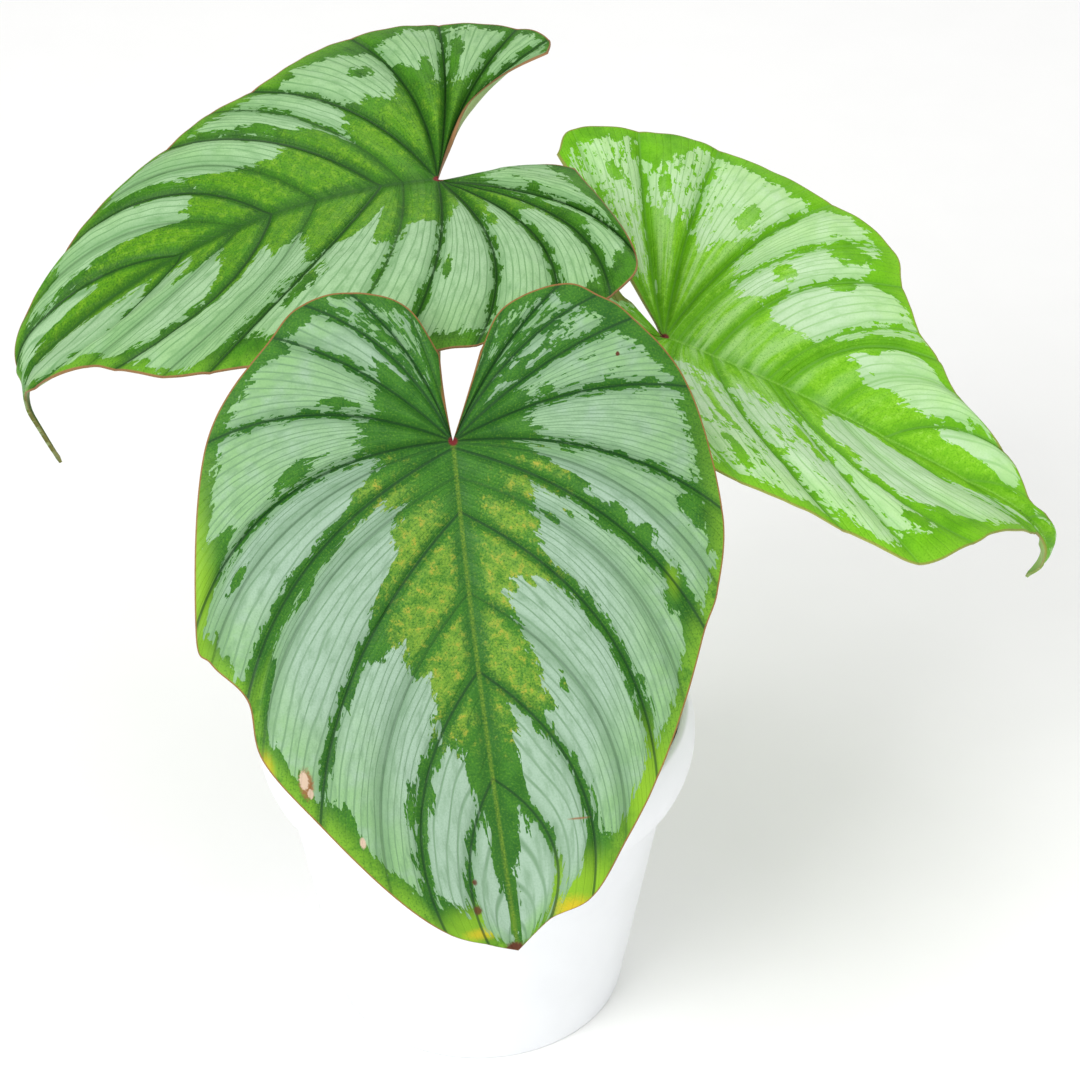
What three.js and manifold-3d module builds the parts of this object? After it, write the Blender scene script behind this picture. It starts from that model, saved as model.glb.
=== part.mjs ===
// A potted Philodendron mamei: three heart shaped, silver marked blades on long stalks, which rise
// from a short creeping stem in a white nursery pot. Millimetres, +Z up, origin under the pot's middle.
import * as THREE from "three";
import { mergeVertices } from "three/addons/utils/BufferGeometryUtils.js";
import Module from "manifold-3d";

const wasm = await Module();
wasm.setup();

// Fit between neighbouring pieces
const GAP = 0.3;

// Pot
const POT_HEIGHT = 80;
const POT_WALL = 1.6;
const POT_BASE_RADIUS = 34;
const POT_FLOOR = 2.4;
const BAND_RADIUS = 50;
const BAND_HEIGHT = 15.5;
const BAND_SHOULDER = 1.8;
const BAND_STEP = 3.4;
const POT_SIDES = 44;
const DRAIN_COUNT = 6;
const DRAIN_RADIUS = 3.5;
const DRAIN_CIRCLE = 20;

// Potting mix
const SOIL_LEVEL = 66.5;
const SOIL_RINGS = 10;
const SOIL_SECTORS = 36;
const SOIL_LUMPS = 70;
const SOIL_SEED = 7;

// Creeping stem
const STEM_RADIUS = 6;
const STEM_SCARS = 6;
const STEM_PATH = [[-25, -1, 62], [-14, 1, 66], [0, 0, 67], [12, -1, 67.5], [21, 0, 70]];
const ROOT_RADIUS = 1.4;
const ROOT_PATHS = [
  [[-20, 0, 63], [-23, 6, 65], [-26, 10, 60], [-27, 12, 52]],
  [[-17, 0, 64], [-18, -7, 65], [-21, -12, 60], [-22, -14, 52]],
  [[16, 0, 67], [19, 6, 67], [23, 10, 61], [24, 12, 52]],
  [[17, 0, 67], [20, -6, 67], [24, -9, 61], [25, -11, 52]],
];

// Blades
const BLADE_THICKNESS = 0.7;
const MIDRIB_DEPTH = 1.2;
const VEIN_DEPTH = 0.4;
const STEPS_PER_VEIN = 4;
const STEPS_ALONG_VEIN = [0, 0.1, 0.24, 0.42, 0.6, 0.77, 0.9, 1];
const VEIN_BOW_PLACE = 0.55;
const FULL_QUILT_CELL = 16;

// Stalks
const STALK_BASE_RADIUS = 3.2;
const STALK_RADIUS = 2.1;
const STALK_TOP_RADIUS = 1.8;
const STALK_SIDES = 8;
const STALK_STEPS = 20;
const STALK_DEPTH = 20;

// A blade is laid out flat, across and down from its stalk, and then bent. Its rows are the places
// where its veins meet the margin: [how far down the midrib the vein starts, how strong it is,
// left [across, down, lift, bow], right [across, down, lift, bow]]. lift raises the margin there, and
// bow is how far the vein bulges away from the tip, as a share of its length.
const FRONT_VEINS = [
  [0, 0.3, [1, -18.5, 0, -0.04], [7.5, -18.5, 0, -0.01]],
  [0, 0.5, [7.5, -29.5, 0, 0.05], [13.5, -27.5, 0, 0]],
  [0, 1, [19, -33, 0, 0.14], [26, -31.5, 0, 0.1]],
  [0, 1, [29, -31, 0, 0.21], [33.5, -28.5, 0, 0.16]],
  [0, 1, [36, -24.5, 0, 0.13], [40.5, -23, 0, 0.1]],
  [0, 1, [51.5, -3.5, 0, 0.21], [51, -7.5, 0, 0.15]],
  [0, 1, [57.5, 35, 0, 0.32], [55.5, 19, 0, 0.19]],
  [0.5, 0.5, [55, 42.5, -0.5, 0.28], [52.5, 35.5, 0, 0.28]],
  [1.5, 1, [48.5, 50.5, -1, 0.22], [48.5, 44, 0, 0.22]],
  [7.5, 0.5, [47, 63, 0, 0.26], [42, 59, 0, 0.3]],
  [15, 1, [37, 77.5, 0, 0.17], [34, 74, 0, 0.3]],
  [32, 0.5, [24.5, 93, 0, 0.25], [25.5, 86.5, 0, 0.33]],
  [48.5, 1, [14.5, 102, 0, 0.29], [17, 97, 1, 0.34]],
  [71, 1, [6, 105.5, 0, 0.25], [7.5, 100.5, 3, 0.43]],
  [107.5, 1, [0, 107.5, 0, 0.3], [0, 107.5, 0, 0.3]],
];
const LEFT_VEINS = [
  [0, 0.3, [31, -33.5, 2, -0.25], [6.5, -30.5, 0, 0.18]],
  [0, 1, [37, -35, 1.5, -0.22], [43, -36, 0, 0.25]],
  [0, 1, [45.5, -29, 0, -0.11], [53.5, -27.5, 0, 0.31]],
  [0, 1, [52.5, -11, 0, 0.06], [59, -14, 0, 0.3]],
  [0, 1, [51, 10.5, 0, 0.18], [61.5, 4, 0, 0.26]],
  [0, 1, [39.5, 35.5, 0, 0.2], [59.5, 21.5, -2, 0.15]],
  [8, 0.6, [37, 45.5, 0, 0.19], [55, 37.5, -2, 0.21]],
  [13, 1, [32, 57, 0, 0.17], [43.5, 60.5, -2, 0.15]],
  [28, 0.5, [25, 77.5, 0, 0.32], [37.5, 70.5, -1.5, 0.3]],
  [38.5, 1, [20.5, 86, 0, 0.33], [26, 80.5, -0.5, 0.43]],
  [46, 0.5, [13, 99, 0, 0.27], [19, 86.5, 0, 0.25]],
  [60, 1, [7, 105.5, 0, 0.21], [8.5, 101, 0, 0.35]],
  [104, 1, [1.5, 108, 0, 0.1], [1.5, 108, 0, 0.1]],
  [125, 1, [0, 125, 0, 0.3], [0, 125, 0, 0.3]],
];
const RIGHT_VEINS = [
  [0, 0.3, [1, -14, 0, 0], [29, -44.5, 0, -0.05]],
  [0, 0.5, [17, -34, 0, 0.12], [37.5, -45, 0, -0.01]],
  [0, 1, [35, -31, 0, 0.25], [49.5, -31, 0, 0.02]],
  [0, 1, [47, -14, 0, 0.25], [58, -11, 0, 0.04]],
  [0, 1, [52, 5, 0, 0.25], [54.5, 20, 1, 0.12]],
  [3, 0.6, [52.5, 32, 0, 0.25], [50, 36.5, 0, 0.25]],
  [11.5, 1, [46.5, 55.5, -3, 0.21], [40.5, 42.5, 0, 0.29]],
  [25.5, 0.6, [42.5, 73.5, -4.5, 0.17], [30.5, 50.5, 0, 0.25]],
  [29, 1, [28.5, 82, -0.5, 0.31], [26, 57.5, 0, 0.34]],
  [41.5, 0.5, [21, 85, 1, 0.25], [18.5, 64.5, 1, 0.43]],
  [54.5, 1, [6.5, 93.5, 0, 0.22], [10.5, 80, 1, 0.37]],
  [75, 0.6, [5, 94.5, 0, 0.15], [4, 90, 0, 0.12]],
  [92, 1, [3, 96, 0, 0.15], [4, 96, 0, 0.15]],
  [100, 0.5, [2.5, 104, 0, 0.3], [3.5, 104, 0, 0.3]],
  [114, 1, [0, 114, 0, 0.3], [0, 114, 0, 0.3]],
];

// stalk is the point where the blade joins it; heading is the compass angle that the tip points to and
// fall how steeply the midrib drops there, both in degrees. droop lists [distance down the midrib, how
// much steeper it is there], the folds list [distance across, how much the half rises (+) or sinks], and
// sweep is how far to the right the midrib has curved at 100 mm.
const LEAVES = [
  {
    name: "front",
    color: 0x5f8f5c,
    stalk: [-3.7, -17.7, 163.4],
    heading: -82,
    fall: 46,
    roll: 0,
    sweep: 4,
    droop: [[-60, -10], [0, 0], [60, 6], [100, 14], [170, 30]],
    foldLeft: [[0, 8], [30, 0], [60, -14], [90, -20]],
    foldRight: [[0, 8], [30, 0], [60, -14], [90, -20]],
    quilt: 1.1,
    veins: FRONT_VEINS,
    stalkPath: [[-1, -10.4], [3, -6, 100], [1, -2, 140]],
  },
  {
    name: "left",
    color: 0x6f9f55,
    stalk: [-8.6, 63.4, 179.6],
    heading: -167,
    fall: -2,
    roll: -6,
    sweep: 14,
    droop: [[-60, 18], [-10, 4], [0, 0], [40, 14], [80, 30], [98, 38], [106, 78], [113, 116], [170, 122]],
    foldLeft: [[0, 12], [30, 6], [60, -4], [90, -8]],
    foldRight: [[0, 8], [30, 2], [60, -10], [90, -16]],
    quilt: 1.3,
    veins: LEFT_VEINS,
    stalkPath: [[-10, 11.2], [-12, 25, 105], [-10, 46, 145]],
  },
  {
    name: "right",
    color: 0x8fc266,
    stalk: [42.8, 45.9, 148.7],
    heading: -20,
    fall: 12,
    roll: 0,
    sweep: 4,
    droop: [[-60, 24], [-10, 8], [0, 0], [50, 10], [80, 10], [93, 26], [100, 70], [107, 104], [170, 116]],
    foldLeft: [[0, 14], [30, 12], [60, 0], [90, -10]],
    foldRight: [[0, 20], [30, 16], [60, 6], [90, -4]],
    quilt: 1.8,
    veins: RIGHT_VEINS,
    stalkPath: [[8.5, 10.6], [16, 17, 95], [32, 34, 128]],
  },
];

const radians = THREE.MathUtils.degToRad;
const clamp = THREE.MathUtils.clamp;
const lerp = THREE.MathUtils.lerp;

// Seeded random numbers between 0 and 1
function randomSource(seed) {
  let state = seed;
  return () => {
    state = (Math.imul(state, 1664525) + 1013904223) >>> 0;
    return state / 4294967296;
  };
}

// Mesh and solid helpers
function meshGeometry(points, triangles) {
  const geometry = new THREE.BufferGeometry();
  geometry.setAttribute("position", new THREE.Float32BufferAttribute(points, 3));
  geometry.setIndex(triangles);
  geometry.computeVertexNormals();
  return geometry;
}

function solidOf(geometry) {
  const bare = new THREE.BufferGeometry();
  bare.setAttribute("position", geometry.getAttribute("position"));
  if (geometry.index) bare.setIndex(geometry.index);
  const merged = mergeVertices(bare, 1e-4);
  return new wasm.Manifold(
    new wasm.Mesh({
      numProp: 3,
      vertProperties: merged.attributes.position.array,
      triVerts: new Uint32Array(merged.index.array),
    }),
  );
}

function geometryOf(solid) {
  const mesh = solid.getMesh();
  return meshGeometry(Array.from(mesh.vertProperties), Array.from(mesh.triVerts));
}

function placedCylinder(radius, height, sides, x, y, z) {
  const geometry = new THREE.CylinderGeometry(radius, radius, height, sides);
  geometry.rotateX(Math.PI / 2);
  geometry.translate(x, y, z);
  return solidOf(geometry);
}

// A closed round tube along a smooth curve through the points, whose radius depends on the place
function tubeGeometry(points, radiusAt, sides, steps) {
  const curve = new THREE.CatmullRomCurve3(points);
  const frames = curve.computeFrenetFrames(steps, false);
  const positions = [];
  const triangles = [];
  const ring = (step, side) => step * sides + (side % sides);
  for (let step = 0; step <= steps; step++) {
    const share = step / steps;
    const centre = curve.getPointAt(share);
    for (let side = 0; side < sides; side++) {
      const angle = (2 * Math.PI * side) / sides;
      const out = frames.normals[step].clone().multiplyScalar(Math.cos(angle));
      out.addScaledVector(frames.binormals[step], Math.sin(angle));
      positions.push(...centre.clone().addScaledVector(out, radiusAt(share)).toArray());
    }
  }
  for (let step = 0; step < steps; step++) {
    for (let side = 0; side < sides; side++) {
      const [a, b] = [ring(step, side), ring(step, side + 1)];
      const [c, d] = [ring(step + 1, side), ring(step + 1, side + 1)];
      triangles.push(a, b, c, b, d, c);
    }
  }
  const first = positions.length / 3;
  positions.push(...curve.getPointAt(0).toArray(), ...curve.getPointAt(1).toArray());
  for (let side = 0; side < sides; side++) {
    triangles.push(first, ring(0, side + 1), ring(0, side));
    triangles.push(first + 1, ring(steps, side), ring(steps, side + 1));
  }
  return meshGeometry(positions, triangles);
}

// The place reached by walking along a line whose slope angle is given at some distances: returns a
// function from distance to how far ahead, how far up and at what angle it is
function bentLine(knots) {
  const reach = 200;
  const angleAt = (s) => {
    const last = knots.length - 1;
    if (s <= knots[0][0]) return radians(knots[0][1]);
    if (s >= knots[last][0]) return radians(knots[last][1]);
    const next = knots.findIndex((knot) => knot[0] > s);
    const [[s0, a0], [s1, a1]] = [knots[next - 1], knots[next]];
    return radians(lerp(a0, a1, (s - s0) / (s1 - s0)));
  };
  const table = [];
  for (const way of [-1, 1]) {
    let [ahead, up] = [0, 0];
    for (let mm = 0; mm <= reach; mm++) {
      table[reach + way * mm] = [ahead, up];
      const angle = angleAt(way * (mm + 0.5));
      ahead += way * Math.cos(angle);
      up += way * Math.sin(angle);
    }
  }
  return (s) => {
    const place = clamp(s + reach, 0, 2 * reach - 1);
    const cell = Math.floor(place);
    const [near, far] = [table[cell], table[cell + 1]];
    const part = place - cell;
    return { ahead: lerp(near[0], far[0], part), up: lerp(near[1], far[1], part), angle: angleAt(s) };
  };
}

// Blade: the flat layout. side is 0 for the left half and 1 for the right; c counts the veins from the
// lobe's inner margin to the tip, and t goes along a vein from the midrib to the margin.
function rowAt(veins, side, c) {
  const flat = (index) => {
    const [start, strength, left, right] = veins[index];
    return [start, strength, ...(side ? right : left)];
  };
  const last = veins.length - 1;
  const cell = Math.min(Math.floor(c), last - 1);
  const part = c - cell;
  const [b, d] = [flat(cell), flat(cell + 1)];
  const a = cell > 0 ? flat(cell - 1) : b.map((value, i) => 2 * value - d[i]);
  const e = cell + 2 <= last ? flat(cell + 2) : d.map((value, i) => 2 * value - b[i]);
  const spline = (i) =>
    0.5 *
    (2 * b[i] +
      (d[i] - a[i]) * part +
      (2 * a[i] - 5 * b[i] + 4 * d[i] - e[i]) * part ** 2 +
      (3 * b[i] - a[i] - 3 * d[i] + e[i]) * part ** 3);
  return {
    start: Math.max(0, spline(0)),
    strength: lerp(b[1], d[1], part),
    across: Math.max(0, spline(2)),
    down: spline(3),
    lift: spline(4),
    bow: spline(5),
  };
}

// The vein is a curve that bows away from the tip
function veinPoint(leaf, side, c, t) {
  const row = rowAt(leaf.veins, side, c);
  const [across, down] = [row.across, row.down - row.start];
  const bendAcross = VEIN_BOW_PLACE * across + row.bow * down;
  const bendDown = row.start + VEIN_BOW_PLACE * down - row.bow * across;
  const [near, mid, far] = [(1 - t) ** 2, 2 * t * (1 - t), t ** 2];
  return {
    across: mid * bendAcross + far * across,
    down: near * row.start + mid * bendDown + far * row.down,
    row,
  };
}

// The surface is quilted: it sinks along each strong vein and swells between two of them
function quiltHeight(leaf, side, c, t, row) {
  const step = 0.05;
  const before = rowAt(leaf.veins, side, Math.max(0, c - step));
  const after = rowAt(leaf.veins, side, Math.min(leaf.veins.length - 1, c + step));
  const spacing = Math.hypot(after.across - before.across, after.down - before.down) / (2 * step);
  const size = leaf.quilt * Math.min(1, (spacing * t) / FULL_QUILT_CELL) * (1 - 0.7 * t ** 6);
  const swell = Math.abs(Math.sin(Math.PI * c)) ** 0.8;
  return size * (swell + (1 - swell) * (1 - row.strength));
}

// Blade: bent and placed. height is measured along the upper face's normal.
function bladeShape(leaf) {
  const midrib = bentLine(leaf.droop);
  const folds = [bentLine(leaf.foldLeft), bentLine(leaf.foldRight)];
  const [heading, fall, roll] = [radians(leaf.heading), radians(leaf.fall), radians(leaf.roll)];
  const level = new THREE.Vector3(Math.cos(heading), Math.sin(heading), 0);
  const back = level.clone().multiplyScalar(-Math.cos(fall)).setZ(Math.sin(fall));
  const plainUp = level.clone().multiplyScalar(Math.sin(fall)).setZ(Math.cos(fall));
  const plainRight = new THREE.Vector3().crossVectors(back, plainUp);
  const right = plainRight.clone().multiplyScalar(Math.cos(roll)).addScaledVector(plainUp, Math.sin(roll));
  const up = plainUp.clone().multiplyScalar(Math.cos(roll)).addScaledVector(plainRight, -Math.sin(roll));
  const origin = new THREE.Vector3(...leaf.stalk);

  // across is positive to the right, and at 0 the normal is the midrib's own
  function place(side, across, down, height, thickness) {
    const along = midrib(down);
    const over = folds[side](across);
    const way = side ? 1 : -1;
    const tilt = across > 0 ? over.angle : 0;
    const sweep = leaf.sweep * (Math.max(0, down) / 100) ** 2;
    const rise = over.up + height + thickness * Math.cos(tilt);
    const sideways = way * (over.ahead - thickness * Math.sin(tilt)) + sweep;
    const backwards = -along.ahead - Math.sin(along.angle) * rise;
    const upwards = -along.up + Math.cos(along.angle) * rise;
    return origin
      .clone()
      .addScaledVector(right, sideways)
      .addScaledVector(back, backwards)
      .addScaledVector(up, upwards);
  }

  function point(side, c, t, thickness) {
    const spot = veinPoint(leaf, side, c, t);
    const height = quiltHeight(leaf, side, c, t, spot.row) + spot.row.lift * t ** 2.5;
    return place(side, spot.across, spot.down, height, thickness);
  }

  return { place, point, up };
}

// How far the underside lies below the middle of the blade: its ribs stand proud under the veins
function undersideDepth(leaf, c, t) {
  const share = c / (leaf.veins.length - 1);
  const midrib = MIDRIB_DEPTH * (1 - 0.75 * share) * clamp(1 - 8 * t, 0, 1);
  const onVein = Math.abs(c - Math.round(c)) < 1e-6;
  const strength = onVein ? leaf.veins[Math.round(c)][1] : 0;
  return BLADE_THICKNESS / 2 + midrib + VEIN_DEPTH * strength * (1 - t) * (t > 0 ? 1 : 0);
}

function bladeGeometry(leaf) {
  const shape = bladeShape(leaf);
  const steps = (leaf.veins.length - 1) * STEPS_PER_VEIN;
  const tops = [];
  const bottoms = [];
  const ids = new Map();
  function vertex(side, i, j) {
    const c = i / STEPS_PER_VEIN;
    const t = STEPS_ALONG_VEIN[j];
    const onMidrib = j === 0 || i === steps;
    const atStalk = onMidrib && rowAt(leaf.veins, 0, c).start === 0;
    const key = atStalk ? "stalk" : onMidrib ? `midrib ${i}` : `${side} ${i} ${j}`;
    if (!ids.has(key)) {
      ids.set(key, tops.length);
      const place = onMidrib ? 0 : t;
      tops.push(shape.point(side, c, place, BLADE_THICKNESS / 2));
      bottoms.push(shape.point(side, c, place, -undersideDepth(leaf, c, place)));
    }
    return ids.get(key);
  }
  const upper = [];
  const addTriangle = (a, b, c) => {
    if (a !== b && b !== c && c !== a) upper.push([a, b, c]);
  };
  for (const side of [0, 1]) {
    for (let i = 0; i < steps; i++) {
      for (let j = 0; j < STEPS_ALONG_VEIN.length - 1; j++) {
        const a = vertex(side, i, j);
        const b = vertex(side, i + 1, j);
        const c = vertex(side, i + 1, j + 1);
        const d = vertex(side, i, j + 1);
        if (side) {
          addTriangle(a, b, c);
          addTriangle(a, c, d);
        } else {
          addTriangle(a, c, b);
          addTriangle(a, d, c);
        }
      }
    }
  }
  return closedSheet(tops, bottoms, upper);
}

// Upper and under faces joined round the edge
function closedSheet(tops, bottoms, upper) {
  const under = tops.length;
  const edges = new Set();
  for (const [a, b, c] of upper) {
    for (const [from, to] of [[a, b], [b, c], [c, a]]) edges.add(`${from} ${to}`);
  }
  const triangles = upper.flat();
  for (const [a, b, c] of upper) triangles.push(a + under, c + under, b + under);
  for (const edge of edges) {
    const [from, to] = edge.split(" ").map(Number);
    if (!edges.has(`${to} ${from}`)) triangles.push(to, from, from + under, to, from + under, to + under);
  }
  const points = [...tops, ...bottoms].flatMap((point) => point.toArray());
  return meshGeometry(points, triangles);
}

// Stalks: from a hole in the mix up to the underside of the blade, which they meet square on
function stalkPoints(leaf) {
  const shape = bladeShape(leaf);
  const [base, ...middle] = leaf.stalkPath;
  const below = BLADE_THICKNESS / 2 + MIDRIB_DEPTH + GAP;
  const top = shape.place(0, 0, 2.5, 0, -below);
  const neck = shape.place(0, 0, 2.5, 0, -below - 9);
  return [
    new THREE.Vector3(base[0], base[1], SOIL_LEVEL - STALK_DEPTH),
    new THREE.Vector3(base[0], base[1], SOIL_LEVEL + 4),
    ...middle.map((point) => new THREE.Vector3(...point)),
    neck,
    top,
  ];
}

function stalkRadius(extra) {
  return (share) => {
    const sheath = Math.exp(-((share / 0.3) ** 2));
    const neck = Math.exp(-(((share - 0.93) / 0.05) ** 2));
    const plain = lerp(STALK_RADIUS, STALK_TOP_RADIUS, share);
    return plain + (STALK_BASE_RADIUS - STALK_RADIUS) * sheath + 0.3 * neck + extra;
  };
}

function stalkGeometry(leaf, extra) {
  return tubeGeometry(stalkPoints(leaf), stalkRadius(extra), STALK_SIDES, STALK_STEPS);
}

// Creeping stem with ring scars, and roots that arch into the mix
function stemSolid(extra) {
  const path = STEM_PATH.map((point) => new THREE.Vector3(...point));
  const radiusAt = (share) => {
    const rounded = Math.sqrt(clamp(Math.min(share, 1 - share) * 7, 0.04, 1));
    const scar = 0.5 * Math.cos(2 * Math.PI * STEM_SCARS * share) ** 8;
    return STEM_RADIUS * lerp(0.85, 1, share) * rounded + scar * rounded + extra;
  };
  let solid = solidOf(tubeGeometry(path, radiusAt, 12, 24));
  for (const root of ROOT_PATHS) {
    const points = root.map((point) => new THREE.Vector3(...point));
    const rootRadius = (share) => ROOT_RADIUS * (1 - 0.3 * share) + extra;
    solid = solid.add(solidOf(tubeGeometry(points, rootRadius, 6, 7)));
  }
  return solid;
}

// Pot: a tapered wall with a convex rim band that stands out from it
const bandFoot = POT_HEIGHT - BAND_HEIGHT;
const wallTopRadius = BAND_RADIUS - BAND_SHOULDER - BAND_STEP;

function potProfile() {
  const band = [-1, -0.5, 0, 0.5, 1].map((place) => {
    const radius = BAND_RADIUS - BAND_SHOULDER * place ** 2;
    return [radius, bandFoot + (BAND_HEIGHT * (place + 1)) / 2];
  });
  const bandInside = BAND_RADIUS - BAND_SHOULDER - POT_WALL;
  const outside = [[0, 0], [POT_BASE_RADIUS - 1, 0], [POT_BASE_RADIUS, 1.2], [wallTopRadius, bandFoot]];
  const inside = [
    [bandInside + 0.4, POT_HEIGHT],
    [bandInside, POT_HEIGHT - 1],
    [bandInside, bandFoot + POT_WALL],
    [wallTopRadius - POT_WALL, bandFoot + POT_WALL - 0.6],
    [POT_BASE_RADIUS - POT_WALL, POT_FLOOR],
    [0, POT_FLOOR],
  ];
  return [...outside, ...band, ...inside];
}

function potGeometry() {
  const profile = potProfile().map(([radius, z]) => new THREE.Vector2(radius, z));
  const turned = new THREE.LatheGeometry(profile, POT_SIDES);
  turned.rotateX(Math.PI / 2);
  let solid = solidOf(turned);
  for (let i = 0; i < DRAIN_COUNT; i++) {
    const angle = (2 * Math.PI * i) / DRAIN_COUNT;
    const [x, y] = [DRAIN_CIRCLE * Math.cos(angle), DRAIN_CIRCLE * Math.sin(angle)];
    solid = solid.subtract(placedCylinder(DRAIN_RADIUS, 4 * POT_FLOOR, 12, x, y, 0));
  }
  return geometryOf(solid);
}

// Potting mix: fills the pot, with a lumpy top
function soilHeight(lumps, x, y) {
  const mound = 1.5 * Math.exp(-((x / 30) ** 2) - (y / 18) ** 2);
  const lumpy = lumps.reduce((sum, lump) => {
    const reach = Math.hypot(x - lump.x, y - lump.y) / lump.size;
    return sum + lump.height * Math.exp(-(reach ** 2));
  }, 0);
  return SOIL_LEVEL + mound + lumpy;
}

function soilGeometry() {
  const random = randomSource(SOIL_SEED);
  const topRadius = BAND_RADIUS - BAND_SHOULDER - POT_WALL - GAP;
  const ledge = bandFoot + POT_WALL + GAP;
  const wallRadius = wallTopRadius - POT_WALL - GAP;
  const lumps = Array.from({ length: SOIL_LUMPS }, () => {
    const [reach, angle] = [topRadius * Math.sqrt(random()), 2 * Math.PI * random()];
    const size = 2.5 + 3 * random();
    return { x: reach * Math.cos(angle), y: reach * Math.sin(angle), size, height: 0.4 + 1.1 * random() };
  });
  const points = [];
  const triangles = [];
  const addRing = (radius, heightAt) => {
    const first = points.length / 3;
    for (let k = 0; k < SOIL_SECTORS; k++) {
      const angle = (2 * Math.PI * k) / SOIL_SECTORS;
      const [x, y] = [radius * Math.cos(angle), radius * Math.sin(angle)];
      points.push(x, y, heightAt(x, y));
    }
    return first;
  };
  const joinRings = (inner, outer) => {
    for (let k = 0; k < SOIL_SECTORS; k++) {
      const next = (k + 1) % SOIL_SECTORS;
      triangles.push(inner + k, outer + k, outer + next, inner + k, outer + next, inner + next);
    }
  };
  points.push(0, 0, soilHeight(lumps, 0, 0));
  const rings = [];
  for (let ring = 1; ring <= SOIL_RINGS; ring++) {
    rings.push(addRing((topRadius * ring) / SOIL_RINGS, (x, y) => soilHeight(lumps, x, y)));
  }
  rings.push(addRing(topRadius, () => ledge));
  rings.push(addRing(wallRadius, () => ledge - POT_WALL / 4));
  rings.push(addRing(POT_BASE_RADIUS - POT_WALL - GAP - 0.2, () => POT_FLOOR + GAP));
  for (let k = 0; k < SOIL_SECTORS; k++) {
    triangles.push(0, rings[0] + k, rings[0] + ((k + 1) % SOIL_SECTORS));
  }
  for (let ring = 0; ring < rings.length - 1; ring++) joinRings(rings[ring], rings[ring + 1]);
  const floor = points.length / 3;
  points.push(0, 0, POT_FLOOR + GAP);
  const lowest = rings[rings.length - 1];
  for (let k = 0; k < SOIL_SECTORS; k++) {
    triangles.push(floor, lowest + ((k + 1) % SOIL_SECTORS), lowest + k);
  }
  let solid = solidOf(meshGeometry(points, triangles));
  solid = solid.subtract(stemSolid(GAP));
  for (const leaf of LEAVES) solid = solid.subtract(solidOf(stalkGeometry(leaf, GAP)));
  return geometryOf(largestBody(solid));
}

function largestBody(solid) {
  const bodies = solid.decompose();
  return bodies.reduce((best, body) => (body.volume() > best.volume() ? body : best));
}

// Materials
const finish = (color, roughness, metalness = 0) => new THREE.MeshStandardMaterial({ color, roughness, metalness });
const POT_FINISH = finish(0xf2f3f4, 0.4);
const SOIL_FINISH = finish(0x3d2b1f, 0.95);
const STEM_FINISH = finish(0x6f7d45, 0.6);
const STALK_FINISH = finish(0x7d8f4a, 0.5);

// Assembly
const group = new THREE.Group();

function addPiece(name, geometry, material) {
  const mesh = new THREE.Mesh(geometry, material);
  mesh.name = name;
  group.add(mesh);
}

addPiece("pot", potGeometry(), POT_FINISH);
addPiece("soil", soilGeometry(), SOIL_FINISH);
addPiece("rhizome", geometryOf(stemSolid(0)), STEM_FINISH);
for (const leaf of LEAVES) {
  addPiece(`petiole_${leaf.name}`, stalkGeometry(leaf, 0), STALK_FINISH);
  addPiece(`blade_${leaf.name}`, bladeGeometry(leaf), finish(leaf.color, 0.45));
}

export default group;
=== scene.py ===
"""A potted Philodendron mamei: quilted, silver marked leaf blades on long stalks, which rise from a
creeping stem in a white nursery pot. Sizes are millimetres until a mesh is made, which is in metres."""
import math

import bmesh
import bpy
import numpy as np
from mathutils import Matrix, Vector


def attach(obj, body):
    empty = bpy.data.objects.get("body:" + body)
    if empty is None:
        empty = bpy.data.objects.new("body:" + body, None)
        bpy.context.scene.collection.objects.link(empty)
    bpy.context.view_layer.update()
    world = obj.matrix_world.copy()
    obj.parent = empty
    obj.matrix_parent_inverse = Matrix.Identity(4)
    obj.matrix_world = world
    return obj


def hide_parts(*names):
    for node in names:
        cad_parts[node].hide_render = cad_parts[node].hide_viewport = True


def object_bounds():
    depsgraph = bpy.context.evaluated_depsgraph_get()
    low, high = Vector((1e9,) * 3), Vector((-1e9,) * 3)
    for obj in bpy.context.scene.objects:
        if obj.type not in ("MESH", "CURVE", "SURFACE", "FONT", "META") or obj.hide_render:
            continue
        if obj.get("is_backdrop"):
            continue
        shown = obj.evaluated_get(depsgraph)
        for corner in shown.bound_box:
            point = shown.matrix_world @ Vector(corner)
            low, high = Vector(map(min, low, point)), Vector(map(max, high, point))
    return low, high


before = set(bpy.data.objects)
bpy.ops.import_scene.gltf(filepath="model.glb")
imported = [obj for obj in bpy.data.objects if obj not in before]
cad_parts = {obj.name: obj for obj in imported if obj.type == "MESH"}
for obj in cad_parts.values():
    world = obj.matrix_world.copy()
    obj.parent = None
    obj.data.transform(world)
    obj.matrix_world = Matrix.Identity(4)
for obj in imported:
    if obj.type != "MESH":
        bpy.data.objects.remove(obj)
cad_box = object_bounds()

MM = 0.001

# Camera: level and azimuth 0, looking down at the plant. Its place is in metres
CAMERA_PLACE = (0.01451, -0.61395, 0.57099)
CAMERA_DROP = 36
CAMERA_LENS = 115
SENSOR = 36

# Studio, in metres: each lamp's [place, width, power]
LAMPS = {
    "key": [(-0.7, -0.8, 0.95), 0.8, 14],
    "top": [(0.1, -0.1, 1.3), 1, 4],
    "fill": [(0.8, -0.8, 0.7), 0.9, 4.5],
    "back": [(0.1, 0.9, 1), 0.9, 2.5],
}
LAMP_TARGET = (0, 0, 0.14)
WORLD_STRENGTH = 0.5
FLOOR_HALF = 3

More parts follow.
